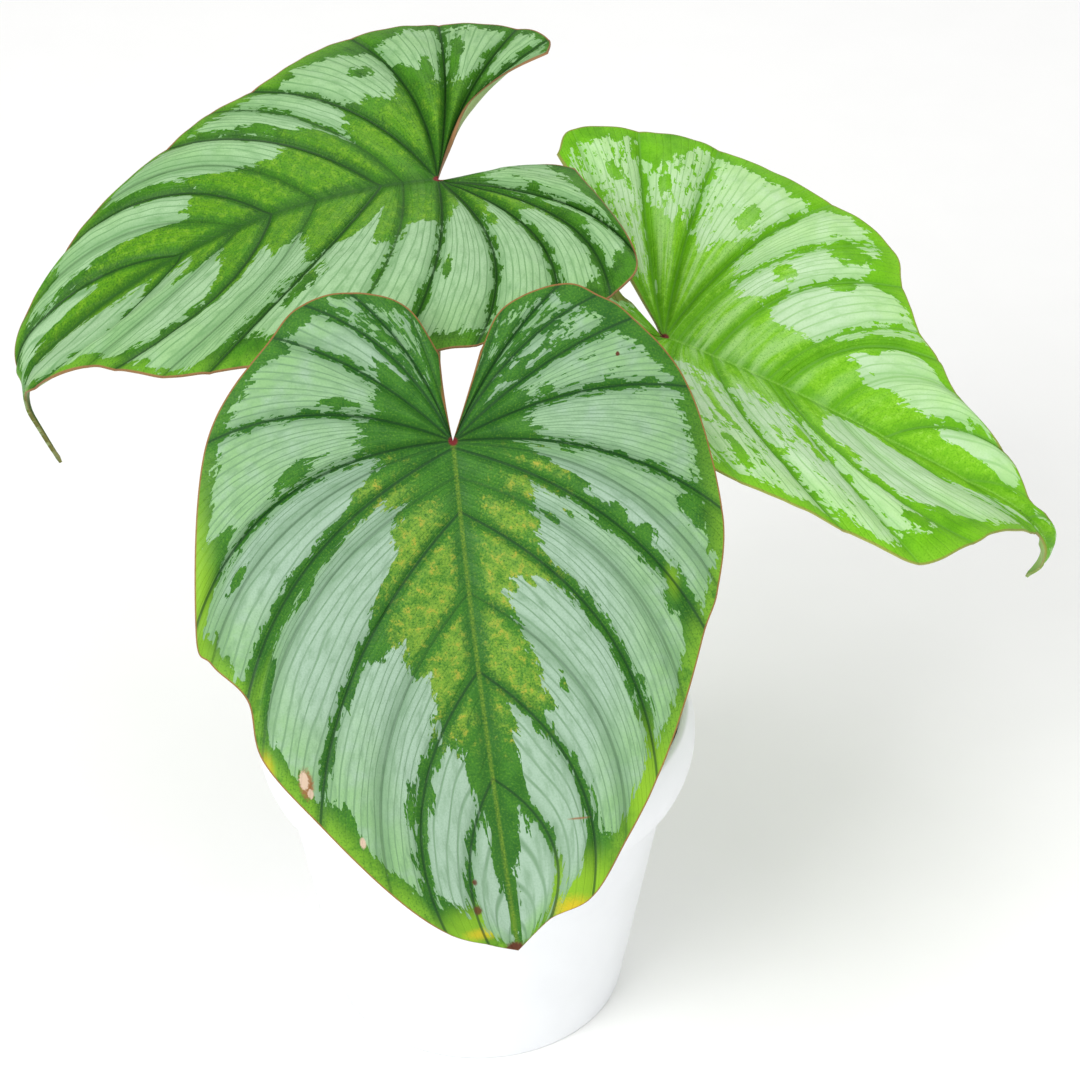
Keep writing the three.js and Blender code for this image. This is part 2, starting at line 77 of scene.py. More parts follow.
# Display colours, 0 to 255
COLOURS = {
    "floor": (244, 244, 243),
    "floor_grain": (247, 247, 246),
    "pot": (234, 236, 239),
    "pot_cloud": (237, 239, 242),
    "mix": (38, 27, 20),
    "mix_grit": (74, 52, 36),
    "bark": (104, 72, 48),
    "perlite": (226, 222, 212),
    "stem": (110, 112, 58),
    "stem_patch": (120, 92, 56),
    "stem_scar": (74, 54, 34),
    "stem_flake": (160, 142, 96),
    "stalk": (96, 118, 48),
    "stalk_fibre": (150, 160, 84),
    "stalk_blush": (140, 66, 52),
    "stalk_dot": (188, 176, 120),
    "stalk_foot": (120, 104, 62),
    "stalk_joint": (112, 36, 38),
    "under_rib": (150, 172, 110),
}

# Blades: how thick they are, the relief of the midrib and veins, grooves above and ribs below, and fine
# puckers and small veins between them
BLADE_THICKNESS = 0.7
EDGE_THICKNESS = 0.4
EDGE_POWER = 10
MIDRIB_DEPTH = 1.2
MIDRIB_WIDTH = 1.5
MIDRIB_TAPER = 0.75
MIDRIB_GROOVE = 0.8
MIDRIB_GROOVE_WIDTH = 1.6
VEIN_RIB = 0.4
VEIN_RIB_WIDTH = 0.7
VEIN_GROOVE = 0.8
VEIN_GROOVE_WIDTH = 1.2
VEIN_BOW_PLACE = 0.55
LIFT_POWER = 2.5
TIP_MARGIN = 1.6
PUCKER = 0.08
PUCKER_SIZE = 6
PUCKER_FROM_MIDRIB = 6
PUCKER_FROM_VEIN = 1.2
SMALL_VEIN_PITCH = 2.3
SMALL_VEIN_WOBBLE = 1.2
LEAF_TONE = 0.86
LEAF_SHINE = 0.16

# The swelling between two veins is full where they are this far apart and the blade is this wide
FULL_QUILT_CELL = 16
FULL_QUILT_WIDTH = 6
QUILT_ROUNDNESS = 0.8
QUILT_EDGE_LOSS = 0.7
QUILT_EDGE_POWER = 6
QUILT_PROBE = 0.05

# A blade's mesh, with a line about every MESH_STEP along the margin. Up to INNER_ROWS a place is near
# the lobe's inner margin, and FAR is further than any margin
MESH_STEP = 1.15
LEAST_LINES = 5
STEPS_ALONG_VEIN = 72
BEND_REACH = 200
INNER_ROWS = 1.5
LEAST_PITCH = 0.02
TINY = 1e-6
FAR = 99

# How far apart the silver's edge may wander: along a vein at its start and its top, and across one,
# beside the green band that lies along each strong vein
START_WANDER = 2.2
TOP_WANDER = 1.9
BAND_WANDER = 1.1
PLAIN_BAND = 0.75
STRONG_VEIN = 0.55
FULL_SILVER = 9
MOST_WANDERS = 3

# Noises on a blade: [layout, scale on its axes, detail, roughness]. The layout called flat is the blade
# laid level, and in weave the first axis runs along the margin and the second along the veins. Jags say
# how far each noise moves an edge, and cells are blocks with one random number each
BLADE_NOISES = {
    "mottle": ["flat", (0.16, 0.16, 1), 4, 0.6],
    "blotch": ["flat", (0.5, 0.5, 1), 4, 0.7],
    "grain": ["flat", (1.3, 1.3, 1), 2, 0.6],
    "speck": ["flat", (2.2, 2.2, 1), 2, 0.7],
    "fine": ["flat", (2.2, 2.2, 1), 1, 0.6],
    "tone": ["weave", (0.5, 0.2, 1), 4, 0.6],
    "sheen": ["weave", (0.3, 0.05, 1), 2, 0.5],
    "wobble": ["weave", (0.2, 0.05, 1), 1, 0.5],
}
SILVER_CELLS = {"blocks": (0.42, 0.26, 1), "slivers": (1.1, 0.7, 1)}
SILVER_JAGS = {"blocks": 1.4, "slivers": 0.8, "grain": 0.9, "tone": 2.2}
BRIGHT_JAGS = {"mottle": 2.6, "blotch": 3.2, "speck": 1.6}
MARK_JAGS = {"speck": 1}

# A blade's rows are where its veins meet the margin: [how far down the midrib the vein starts, its
# strength, left [across, down, lift, bow], right [across, down, lift, bow]]
FRONT_VEINS = [
    [0, 0.3, [1, -18.5, 0, -0.04], [7.5, -18.5, 0, -0.01]],
    [0, 0.5, [7.5, -29.5, 0, 0.05], [13.5, -27.5, 0, 0]],
    [0, 1, [19, -33, 0, 0.14], [26, -31.5, 0, 0.1]],
    [0, 1, [29, -31, 0, 0.21], [33.5, -28.5, 0, 0.16]],
    [0, 1, [36, -24.5, 0, 0.13], [40.5, -23, 0, 0.1]],
    [0, 1, [51.5, -3.5, 0, 0.21], [51, -7.5, 0, 0.15]],
    [0, 1, [57.5, 35, 0, 0.32], [55.5, 19, 0, 0.19]],
    [0.5, 0.5, [55, 42.5, -0.5, 0.28], [52.5, 35.5, 0, 0.28]],
    [1.5, 1, [48.5, 50.5, -1, 0.22], [48.5, 44, 0, 0.22]],
    [7.5, 0.5, [47, 63, 0, 0.26], [42, 59, 0, 0.3]],
    [15, 1, [37, 77.5, 0, 0.17], [34, 74, 0, 0.3]],
    [32, 0.5, [24.5, 93, 0, 0.25], [25.5, 86.5, 0, 0.33]],
    [48.5, 1, [14.5, 102, 0, 0.29], [17, 97, 1, 0.34]],
    [71, 1, [6, 105.5, 0, 0.25], [7.5, 100.5, 3, 0.43]],
    [107.5, 1, [0, 107.5, 0, 0.3], [0, 107.5, 0, 0.3]],
]
LEFT_VEINS = [
    [0, 0.3, [31, -33.5, 2, -0.25], [6.5, -30.5, 0, 0.18]],
    [0, 1, [37, -35, 1.5, -0.22], [43, -36, 0, 0.25]],
    [0, 1, [45.5, -29, 0, -0.11], [53.5, -27.5, 0, 0.31]],
    [0, 1, [52.5, -11, 0, 0.06], [59, -14, 0, 0.3]],
    [0, 1, [51, 10.5, 0, 0.18], [61.5, 4, 0, 0.26]],
    [0, 1, [39.5, 35.5, 0, 0.2], [59.5, 21.5, -2, 0.15]],
    [8, 0.6, [37, 45.5, 0, 0.19], [55, 37.5, -2, 0.21]],
    [13, 1, [32, 57, 0, 0.17], [43.5, 60.5, -2, 0.15]],
    [28, 0.5, [25, 77.5, 0, 0.32], [37.5, 70.5, -1.5, 0.3]],
    [38.5, 1, [20.5, 86, 0, 0.33], [26, 80.5, -0.5, 0.43]],
    [46, 0.5, [13, 99, 0, 0.27], [19, 86.5, 0, 0.25]],
    [60, 1, [7, 105.5, 0, 0.21], [8.5, 101, 0, 0.35]],
    [104, 0.2, [1.4, 108, 0, 0.1], [1.4, 108, 0, 0.1]],
    [125, 0.2, [0, 125, 0, 0.3], [0, 125, 0, 0.3]],
]
RIGHT_VEINS = [
    [0, 0.3, [1, -14, 6.5, 0.42], [29, -44.5, 0, -0.05]],
    [0, 0.5, [17, -34, 4, 0.12], [37.5, -45, 0, -0.01]],
    [0, 1, [35, -31, 0, 0.25], [49.5, -31, 0, 0.02]],
    [0, 1, [47, -14, 0, 0.25], [58, -11, 0, 0.04]],
    [0, 1, [52, 5, 0, 0.25], [54.5, 20, 1, 0.12]],
    [3, 0.6, [52.5, 32, 0, 0.25], [50, 36.5, 0, 0.25]],
    [11.5, 1, [46.5, 55.5, -3, 0.21], [40.5, 42.5, 0, 0.29]],
    [25.5, 0.6, [42.5, 73.5, -4.5, 0.17], [30.5, 50.5, 0, 0.25]],
    [29, 1, [28.5, 82, -0.5, 0.31], [26, 57.5, 0, 0.34]],
    [41.5, 0.5, [21, 85, 1, 0.25], [18.5, 64.5, 1, 0.43]],
    [54.5, 1, [6.5, 93.5, 0, 0.22], [10.5, 80, 1, 0.37]],
    [75, 0.6, [5, 94.5, 0, 0.15], [4, 90, 0, 0.12]],
    [92, 1, [3, 96, 0, 0.15], [4, 96, 0, 0.15]],
    [100, 0.5, [2.5, 104, 0, 0.3], [3.5, 104, 0, 0.3]],
    [112, 0.5, [0, 112, 0, 0.3], [0, 112, 0, 0.3]],
]

# The silver on each half. starts and tops: {row: share of the way along the vein} where it begins and
# ends. wide: {vein: half width of the green along it}. dense: {row: how solid the silver is there}.
# green and silver: patches, each [row, share, half width in rows, half length as a share]
FRONT_SILVER = [
    {
        "starts": {
            1: 0.8, 1.5: 0.4, 2: 0.34, 2.9: 0.34, 3.05: 0.22, 3.4: 0.3, 3.5: 0.5, 3.95: 0.45, 4.1: 0.42,
            4.5: 0.38, 4.75: 0.31, 5.1: 0.34, 5.8: 0.28, 6.1: 0.21, 7.1: 0.22, 7.4: 0.3, 7.85: 0.4,
            8.1: 0.28, 8.9: 0.17, 9.3: 0.21, 9.6: 0.22, 9.8: 0.37, 10.05: 0.5, 10.4: 0.38, 10.55: 0.3,
            11.05: 0.32, 11.3: 0.2, 11.9: 0.26, 12.3: 0.2, 12.9: 0.18, 14: 0.2,
        },
        "tops": {
            1: 0.9, 2: 0.9, 2.5: 0.95, 3: 0.86, 4: 0.9, 5: 0.93, 5.6: 0.93, 5.7: 0.75, 6.05: 0.82,
            6.3: 0.93, 6.9: 0.93, 7.4: 0.97, 7.9: 0.97, 8.1: 0.83, 8.9: 0.73, 9.05: 0.92, 10: 0.92,
            10.2: 0.88, 11: 0.9, 12: 0.9, 12.3: 0.8, 12.9: 0.87, 14: 0.9,
        },
        "wide": {3: 1.2, 8: 1.9, 10: 1.2, 12: 1.5, 6: 0.5},
        "dense": {0: -0.9, 2: 0.1, 3: 0.6, 4: 3},
        "green": [
            [2.5, 0.6, 0.35, 0.06], [2, 0.72, 0.25, 0.07], [4.78, 0.47, 0.1, 0.08],
            [5.7, 0.5, 0.16, 0.08], [6.7, 0.75, 0.14, 0.05], [8.5, 0.55, 0.34, 0.05],
            [11.75, 0.58, 0.14, 0.08], [10.45, 0.9, 0.2, 0.04], [1.7, 0.5, 0.2, 0.1],
        ],
        "silver": [[1.25, 0.8, 0.1, 0.07]],
    },
    {
        "starts": {
            1: 0.6, 2: 0.5, 3: 0.35, 3.4: 0.35, 3.6: 0.22, 4.1: 0.35, 4.5: 0.38, 5.1: 0.3, 5.9: 0.3,
            6.1: 0.21, 7: 0.24, 7.3: 0.3, 7.4: 0.44, 7.85: 0.42, 8.05: 0.25, 8.9: 0.22, 9.8: 0.25,
            10.1: 0.3, 10.4: 0.2, 10.75: 0.12, 11.1: 0.2, 11.5: 0.26, 11.9: 0.3, 12.1: 0.12, 12.5: 0.15,
            13: 0.2, 14: 0.3,
        },
        "tops": {
            1: 0.85, 2: 0.88, 3: 0.86, 4: 0.87, 5: 0.93, 6: 0.88, 6.6: 0.9, 7: 0.95, 7.9: 0.95,
            8.1: 0.76, 8.5: 0.9, 9: 0.93, 10: 0.93, 10.2: 0.88, 11: 0.92, 11.6: 0.85, 12.1: 0.68,
            12.4: 0.8, 12.9: 0.94, 14: 0.94,
        },
        "wide": {4: 1.1, 5: 1, 8: 2, 10: 1.5, 12: 1.3},
        "dense": {0: -0.9, 2: -0.1, 3: 0.4, 5: 1.2, 6: 3},
        "green": [
            [3.55, 0.48, 0.14, 0.15], [4.7, 0.42, 0.2, 0.05], [6.3, 0.85, 0.28, 0.06],
            [7.65, 0.53, 0.14, 0.04], [7.7, 0.66, 0.25, 0.04], [8.63, 0.35, 0.08, 0.015],
            [9, 0.28, 0.1, 0.03], [8.3, 0.82, 0.2, 0.05], [11.2, 0.36, 0.09, 0.03],
            [11.65, 0.3, 0.15, 0.06], [2.5, 0.55, 0.2, 0.12], [1.6, 0.7, 0.25, 0.1],
        ],
        "silver": [[6.75, 0.95, 0.12, 0.03]],
    },
]
LEFT_SILVER = [
    {
        "starts": {
            0: 0.6, 1: 0.5, 1.5: 0.66, 2: 0.55, 2.5: 0.55, 3.1: 0.55, 3.4: 0.55, 3.95: 0.7, 4.15: 0.6,
            4.35: 0.43, 4.6: 0.5, 4.9: 0.56, 5.1: 0.56, 5.6: 0.4, 6: 0.3, 6.2: 0.45, 6.5: 0.5, 6.7: 0.62,
            7.1: 0.45, 7.5: 0.33, 8.2: 0.33, 8.6: 0.5, 9: 0.37, 9.6: 0.28, 9.95: 0.24, 10.2: 0.36,
            10.5: 0.55, 11: 0.6, 11.2: 0.32, 11.6: 0.6, 13: 0.8,
        },
        "tops": {
            0: 0.98, 2: 0.95, 3.5: 0.93, 4.2: 0.82, 4.6: 0.93, 5: 0.87, 5.3: 0.94, 6: 0.88, 7: 0.93,
            8: 0.93, 8.4: 0.84, 8.7: 0.6, 9.1: 0.75, 9.6: 0.9, 10: 0.82, 10.4: 0.9, 11: 0.88, 13: 0.9,
        },
        "wide": {1: 1.2, 2: 1.6, 3: 1.2, 4: 0.9, 7: 1.4, 9: 1.6, 11: 0.9},
        "dense": {0: 0.9, 2: 1.5, 13: 3},
        "green": [
            [1.6, 0.5, 0.3, 0.12], [2.75, 0.7, 0.12, 0.15], [3.45, 0.6, 0.16, 0.08],
            [6.7, 0.64, 0.18, 0.08], [8.75, 0.65, 0.22, 0.3], [4.4, 0.68, 0.12, 0.04],
            [10.75, 0.6, 0.15, 0.15],
        ],
        "silver": [],
    },
    {
        "starts": {
            0: 0.3, 0.4: 0.25, 1: 0.2, 1.8: 0.2, 2.1: 0.22, 2.4: 0.38, 3: 0.38, 3.2: 0.18, 3.6: 0.28,
            4.1: 0.34, 4.25: 0.16, 4.9: 0.3, 5.1: 0.28, 5.9: 0.3, 6.1: 0.38, 6.35: 0.4, 6.45: 0.16,
            6.6: 0.32, 7: 0.4, 7.3: 0.4, 7.6: 0.32, 8: 0.2, 8.3: 0.32, 8.7: 0.2, 9.1: 0.5, 9.4: 0.35,
            10: 0.16, 10.2: 0.4, 10.7: 0.12, 11.2: 0.15, 13: 0.5,
        },
        "tops": {
            0: 0.75, 1: 0.88, 2: 0.88, 3: 0.93, 5: 0.92, 6: 0.94, 7.1: 0.82, 7.4: 0.97, 9: 0.95,
            9.2: 0.86, 9.6: 0.95, 10: 0.92, 11: 0.9, 13: 0.9,
        },
        "wide": {2: 1.6, 3: 1.1, 5: 0.9, 7: 1, 9: 1.6, 11: 0.9},
        "dense": {0: 0.2, 0.4: 1, 2: 2, 13: 3},
        "green": [
            [1.1, 0.4, 0.5, 0.05], [1.6, 0.58, 0.18, 0.06], [2.25, 0.37, 0.14, 0.04],
            [3.7, 0.33, 0.18, 0.04], [4.75, 0.58, 0.08, 0.06], [6.75, 0.6, 0.12, 0.12],
            [8.85, 0.5, 0.16, 0.2],
        ],
        "silver": [[4.4, 0.26, 0.1, 0.04]],
    },
]
RIGHT_SILVER = [
    {
        "starts": {
            0: 0.5, 1: 0.4, 2: 0.3, 4: 0.25, 5.1: 0.18, 6: 0.2, 7: 0.22, 7.4: 0.25, 7.75: 0.42, 8.1: 0.3,
            8.3: 0.2, 8.7: 0.08, 9.4: 0.06, 9.8: 0.3, 10.2: 0.4, 11: 0.4, 12: 0.6, 14: 0.8,
        },
        "tops": {
            0: 0.85, 2: 0.9, 5: 0.93, 6.8: 0.93, 7.1: 0.86, 7.9: 0.9, 8.1: 0.72, 8.9: 0.88, 9.1: 0.95,
            9.8: 0.95, 10.1: 0.82, 10.6: 0.7, 11: 0.62, 12: 0.6, 14: 0.6,
        },
        "wide": {2: 0.8, 3: 0.9, 4: 0.9, 8: 1.7, 10: 1.2},
        "dense": {0: 0.3, 4: 0.3, 6: 0.5, 7: 0.9, 8: 3},
        "green": [
            [7.6, 0.82, 0.2, 0.05], [8.25, 0.38, 0.18, 0.05], [7.85, 0.55, 0.1, 0.08],
            [8.6, 0.8, 0.18, 0.05], [5.5, 0.45, 0.1, 0.2], [5.3, 0.78, 0.1, 0.1],
            [6.75, 0.4, 0.08, 0.15], [3.4, 0.6, 0.12, 0.15], [2.5, 0.5, 0.12, 0.15],
            [4.5, 0.5, 0.12, 0.15],
        ],
        "silver": [],
    },
    {
        "starts": {
            0: 0.5, 1: 0.3, 1.5: 0.24, 1.9: 0.3, 2.1: 0.6, 2.5: 0.52, 3.05: 0.5, 3.4: 0.38, 3.9: 0.56,
            4.1: 0.42, 4.6: 0.37, 5: 0.32, 5.4: 0.28, 5.8: 0.34, 6.1: 0.36, 6.3: 0.27, 6.9: 0.33,
            7.05: 0.46, 7.9: 0.42, 8.1: 0.6, 8.25: 0.4, 9: 0.33, 9.7: 0.36, 9.95: 0.5, 10.2: 0.3,
            10.7: 0.5, 11: 0.7, 14: 0.9,
        },
        "tops": {
            0: 0.9, 2: 0.93, 2.15: 0.75, 2.8: 0.94, 4: 0.9, 4.3: 0.95, 5: 0.93, 6: 0.84, 6.5: 0.95,
            7.6: 0.97, 8: 0.7, 8.4: 0.88, 9: 0.94, 10: 0.93, 10.8: 0.88, 11: 0.6, 14: 0.5,
        },
        "wide": {2: 1, 3: 0.8, 4: 1, 6: 0.8, 8: 2.2, 10: 0.8},
        "dense": {0: 0.1, 2: 0.3, 3: 0.5, 4: 1.5, 5: 3},
        "green": [
            [5.55, 0.5, 0.28, 0.05], [5.3, 0.8, 0.45, 0.07], [6.15, 0.72, 0.15, 0.06],
            [7.75, 0.6, 0.25, 0.18], [8.25, 0.54, 0.18, 0.05], [2.35, 0.68, 0.12, 0.05],
            [3.7, 0.65, 0.1, 0.08],
        ],
        "silver": [[2.1, 0.22, 0.06, 0.03]],
    },
]

# Marks on a blade: [across, down, half width, half length, how soft its edge is, how strong, kind].
# Tints lie in the green alone, and spots over everything
MARK_COLOURS = {
    "paper": (206, 182, 158),
    "brown": (92, 52, 34),
    "tan": (146, 98, 62),
    "yellow": (212, 186, 36),
    "lime": (140, 188, 40),
}
FRONT_TINTS = [
    [-56.5, 24, 3, 16, 0.9, 0.7, "lime"],
    [42.7, 33, 1.2, 3, 0.9, 0.55, "lime"],
    [32, 76, 5, 11, 0.8, 0.85, "lime"],
    [16, 95, 9, 6, 0.8, 0.9, "lime"],
    [-8, 101, 6, 3.5, 0.8, 0.7, "lime"],
    [12.8, 99, 3.4, 2.2, 0.8, 0.95, "yellow"],
    [-7, 103, 3, 1, 0.8, 0.7, "yellow"],
    [-46.4, 65, 1.4, 3, 0.7, 0.6, "yellow"],
]
FRONT_SPOTS = [
    [-38.7, 68.6, 1.4, 3, 0.3, 0.9, "tan"],
    [-39.1, 67.8, 0.9, 1.9, 0.2, 1, "paper"],
    [-38.1, 70.6, 0.6, 1, 0.2, 0.9, "paper"],
    [-28.9, 81.5, 0.6, 1.1, 0.3, 1, "paper"],
    [-7, 92.1, 0.5, 0.6, 0.4, 0.9, "brown"],
    [-7.2, 98, 0.8, 0.9, 0.4, 0.9, "brown"],
    [36.1, -15.1, 0.4, 0.5, 0.3, 1, "brown"],
    [16.5, 80.5, 2, 0.22, 0.5, 0.8, "tan"],
    [-0.5, 106.6, 2, 1, 0.4, 1, "brown"],
]

# Display colours of the front, left and right leaf
LEAF_COLOURS = {
    "silver": [(158, 186, 163), (162, 198, 152), (196, 226, 184)],
    "outer": [(138, 182, 122), (152, 194, 134), (180, 222, 150)],
    "shade": [(102, 140, 102), (102, 150, 92), (148, 198, 124)],
    "green": [(60, 120, 32), (68, 132, 20), (114, 188, 20)],
    "dark": [(36, 92, 28), (36, 88, 16), (84, 154, 8)],
    "bright": [(126, 166, 52), (98, 156, 18), (136, 206, 34)],
    "fleck": [(188, 160, 62), (132, 176, 44), (162, 220, 84)],
    "line": [(26, 64, 30), (28, 64, 24), (104, 166, 54)],
    "midrib": [(122, 150, 46), (40, 84, 30), (150, 208, 84)],
    "rim": [(116, 168, 44), (104, 162, 36), (126, 194, 36)],
    # painted highlight on the swellings near the stalk
    "painted_highlight": [(112, 158, 92), (128, 176, 84), (176, 222, 138)],
    "tip": [(120, 128, 62), (92, 116, 56), (116, 162, 62)],
    "under": [(128, 160, 100), (176, 204, 142), (184, 216, 132)],
    "edge": [(150, 104, 62), (150, 104, 70), (160, 110, 80)],
}

# The leaves. Place and turn: stalk is the top of the stalk, heading the way the tip points, fall and
# roll how the blade tilts down and sideways, sweep how far the tip swings aside. Form: droop and folds
# give slope angles along the midrib and across each half, {distance: degrees}; quilt is how high the
# swellings are; rolls are the inner margins that curl over, [side, width, radius]; stalk_path leads up
# from the mix. Look: vein_shade, the painted highlight's strength and edge_shade say how strong these
# colours are: the darker green by the veins, partly painted shade in their troughs, the painted
# highlight on the swellings near the stalk, and the margin line; tip_from is where the tip's colour
# sets in; bright_from (a row), bright_until (a share of the vein), bright_reach (down the midrib) and
# bright_round (from the stalk) bound the bright green by the midrib.
LEAVES = [
    {
        "name": "front", "stalk": [-3.7, -17.7, 163.4], "heading": -82, "fall": 46, "roll": 0, "sweep": 4,
        "droop": {-60: -10, 0: 0, 60: 6, 100: 14, 170: 30},
        "folds": [{0: 8, 30: 0, 60: -14, 90: -20}, {0: 8, 30: 0, 60: -14, 90: -20}],
        "quilt": 1.5, "rolls": [], "stalk_path": [[-1, -10.4], [3, -6, 100], [1, -2, 140]],
        "veins": FRONT_VEINS, "silver": FRONT_SILVER, "tints": FRONT_TINTS, "spots": FRONT_SPOTS,
        "vein_shade": 0.6, "painted_highlight": 0.1, "edge_shade": 0.9, "tip_from": [100, 108],
        "bright_from": 6.3, "bright_until": 0.34, "bright_reach": [48, 72], "bright_round": [6, 22],
        "seed": 3,
    },
    {
        "name": "left", "stalk": [-8.6, 63.4, 179.6], "heading": -167, "fall": -2, "roll": -6, "sweep": 14,
        "droop": {-60: 18, -10: 4, 0: 0, 40: 14, 80: 30, 98: 38, 106: 78, 113: 116, 170: 122},
        "folds": [{0: 12, 30: 6, 60: -4, 90: -8}, {0: 8, 30: 2, 60: -10, 90: -16}],
        "quilt": 2.4, "rolls": [[0, 2.4, 0.95]], "stalk_path": [[-10, 11.2], [-12, 25, 105], [-10, 46, 145]],
        "veins": LEFT_VEINS, "silver": LEFT_SILVER, "tints": [], "spots": [],
        "vein_shade": 0.75, "painted_highlight": 0.15, "edge_shade": 0.9, "tip_from": [103, 109],
        "bright_from": 1.8, "bright_until": 0.5, "bright_reach": [90, 120], "bright_round": [4, 14],
        "seed": 11,
    },
    {
        "name": "right", "stalk": [42.8, 45.9, 148.7], "heading": -20, "fall": 12, "roll": 0, "sweep": 4,
        "droop": {-60: 24, -10: 8, 0: 0, 50: 10, 80: 10, 93: 26, 100: 70, 107: 104, 170: 116},
        "folds": [{0: 14, 30: 12, 60: 0, 90: -10}, {0: 20, 30: 16, 60: 6, 90: -4}],
        "quilt": 2.8, "rolls": [], "stalk_path": [[8.5, 10.6], [16, 17, 95], [32, 34, 128]],
        "veins": RIGHT_VEINS, "silver": RIGHT_SILVER, "tints": [], "spots": [],
        "vein_shade": 0.35, "painted_highlight": 0.75, "edge_shade": 0.5, "tip_from": [98, 114],
        "bright_from": 0.5, "bright_until": 0.6, "bright_reach": [150, 160], "bright_round": [-2, -1],
        "seed": 23,
    },
]

# Pot
GAP = 0.3
POT_HEIGHT = 80
POT_WALL = 1.6
POT_BASE_RADIUS = 34
POT_FLOOR = 2.4
POT_ROUNDING = 0.6
CORNER_REACH = 0.45
CORNER_SHARES = (0, 0.33, 0.67, 1)
POT_SIDES = 160
BAND_RADIUS = 50
BAND_HEIGHT = 15.5
BAND_SHOULDER = 1.8
BAND_STEP = 3.4
BAND_POINTS = 13
BAND_FOOT = POT_HEIGHT - BAND_HEIGHT
BAND_INSIDE = BAND_RADIUS - BAND_SHOULDER - POT_WALL
WALL_TOP_RADIUS = BAND_RADIUS - BAND_SHOULDER - BAND_STEP
DRAIN_COUNT = 6
DRAIN_RADIUS = 3.5
DRAIN_SIDES = 32
DRAIN_CIRCLE = 20
DRAIN_TURN = 0.01
WELD = 0.002

# Potting mix: a mound with lumps and ripples, and chips of bark with a few pale grains
MIX_RADIUS = BAND_INSIDE - GAP
MIX_SECTORS = 120
MIX_RINGS = 44
MIX_FOOT_CLEAR = 0.2
SOIL_LEVEL = 66.5
MOUND = 1.5
MOUND_REACH = (30, 18)
RIPPLE = 0.35
RIPPLE_SIZE = 3
SOIL_SEED = 7
LUMP_COUNT = 70
LUMP_SIZE = (2.5, 5.5)
LUMP_HEIGHT = (0.4, 1.5)
CHIP_SEED = 5
CHIP_COUNT = 1500
CHIP_FROM_WALL = 2.5
CHIP_ROUGHNESS = (0.7, 1.25)
CHIP_SLIMNESS = (0.45, 0.9)
CHIP_TILT = 0.5
BARK_SIZE = (0.8, 2.4)
BARK_FLATNESS = (0.25, 0.55)
PALE_FROM = 0.95
PALE_SIZE = (0.7, 1.3)
PALE_FLATNESS = 0.8

# Creeping stem, its ring scars and lumps, [height, waves round it, waves along it], and its roots
STEM_MESH = (110, 48)
STEM_RADIUS = 6
STEM_OLD_END = 0.85
STEM_END_SLOPE = 7
STEM_END_LEAST = 0.04
STEM_SCARS = 6
SCAR_HEIGHT = 0.5
STEM_LUMPS = [[0.14, 5, 20], [0.1, 11, -47]]
STEM_PATH = [[-25, -1, 62], [-14, 1, 66], [0, 0, 67], [12, -1, 67.5], [21, 0, 70]]
ROOT_MESH = (40, 16)
ROOT_RADIUS = 1.4
ROOT_TAPER = 0.3
ROOT_LUMP = [0.06, 3, 31]
ROOT_PATHS = [
    [[-20, 0, 63], [-23, 6, 65], [-26, 10, 60], [-27, 12, 52]],
    [[-17, 0, 64], [-18, -7, 65], [-21, -12, 60], [-22, -14, 52]],
    [[16, 0, 67], [19, 6, 67], [23, 10, 61], [24, 12, 52]],
    [[17, 0, 67], [20, -6, 67], [24, -9, 61], [25, -11, 52]],
]

# Stalks, with a sheath at the foot, a thicker neck under the blade, a furrow and fine ribs. Reaches
# and places along a stalk are shares of its length
STALK_MESH = (150, 36)
STALK_BASE_RADIUS = 3.2
STALK_RADIUS = 2.1
STALK_TOP_RADIUS = 1.8
STALK_DEPTH = 20
STALK_TOP_PLACE = 2.5
STALK_LAST_RISE = 9
STALK_FIRST_RISE = 4
SHEATH_REACH = 0.3
NECK_RISE = 0.3
NECK_PLACE = 0.93
NECK_REACH = 0.05
FURROW_DEPTH = 0.22
FURROW_WIDTH = 0.12
RIB_HEIGHT = 0.035
RIB_COUNT = 9
RING_GUIDE = [0.3, 1, 0.1]
CURVE_POINTS = 60


def linear(colour):
    """An 8-bit display colour as the linear RGBA that a shader takes."""
    shares = [value / 255 for value in colour]
    return [s / 12.92 if s <= 0.04045 else ((s + 0.055) / 1.055) ** 2.4 for s in shares] + [1]


def tint(name):
    return linear(COLOURS[name])


def leaf_tone(colour):
    """A leaf colour as it looks in the studio's strong light, as the colour of the leaf itself."""
    return [LEAF_TONE * value for value in linear(colour)[:3]] + [1]


def bell(distance, width):
    return np.exp(-((distance / width) ** 2))


def smooth_step(low, high, value):
    share = np.clip((value - low) / (high - low), 0, 1)
    return share * share * (3 - 2 * share)


def between(knots, place):
    """The value at a place, on straight lines through the knots, {place: value}."""
    return np.interp(place, list(knots), list(knots.values()))


def waves(x, y, size, seed, count=9):
    """Smooth seeded waves that stand in for noise on a mesh."""
    rng = np.random.default_rng(seed)
    total = np.zeros(np.broadcast(x, y).shape)
    for _ in range(count):
        angle = rng.uniform(0, 2 * math.pi)
        pitch = 2 * math.pi / (size * rng.uniform(0.7, 1.6))
        phase = rng.uniform(0, 2 * math.pi)
        total += np.sin(pitch * (x * math.cos(angle) + y * math.sin(angle)) + phase)
    return total / math.sqrt(count)


# Objects and meshes
def put(name, data):
    """A new object at the origin."""
    made = bpy.data.objects.new(name, data)
    bpy.context.scene.collection.objects.link(made)
    return made


def mesh_object(name, points, faces, **held):
    """A mesh that also holds a number or a vector for each point, for its material."""
    mesh = bpy.data.meshes.new(name)
    mesh.from_pydata((points * MM).tolist(), [], faces)
    mesh.validate()
    for key, values in held.items():
        kind, field = ("FLOAT", "value") if values.ndim == 1 else ("FLOAT_VECTOR", "vector")
        attribute = mesh.attributes.new(key, kind, "POINT")
        attribute.data.foreach_set(field, values.astype(np.float32).ravel())
    return put(name, mesh)


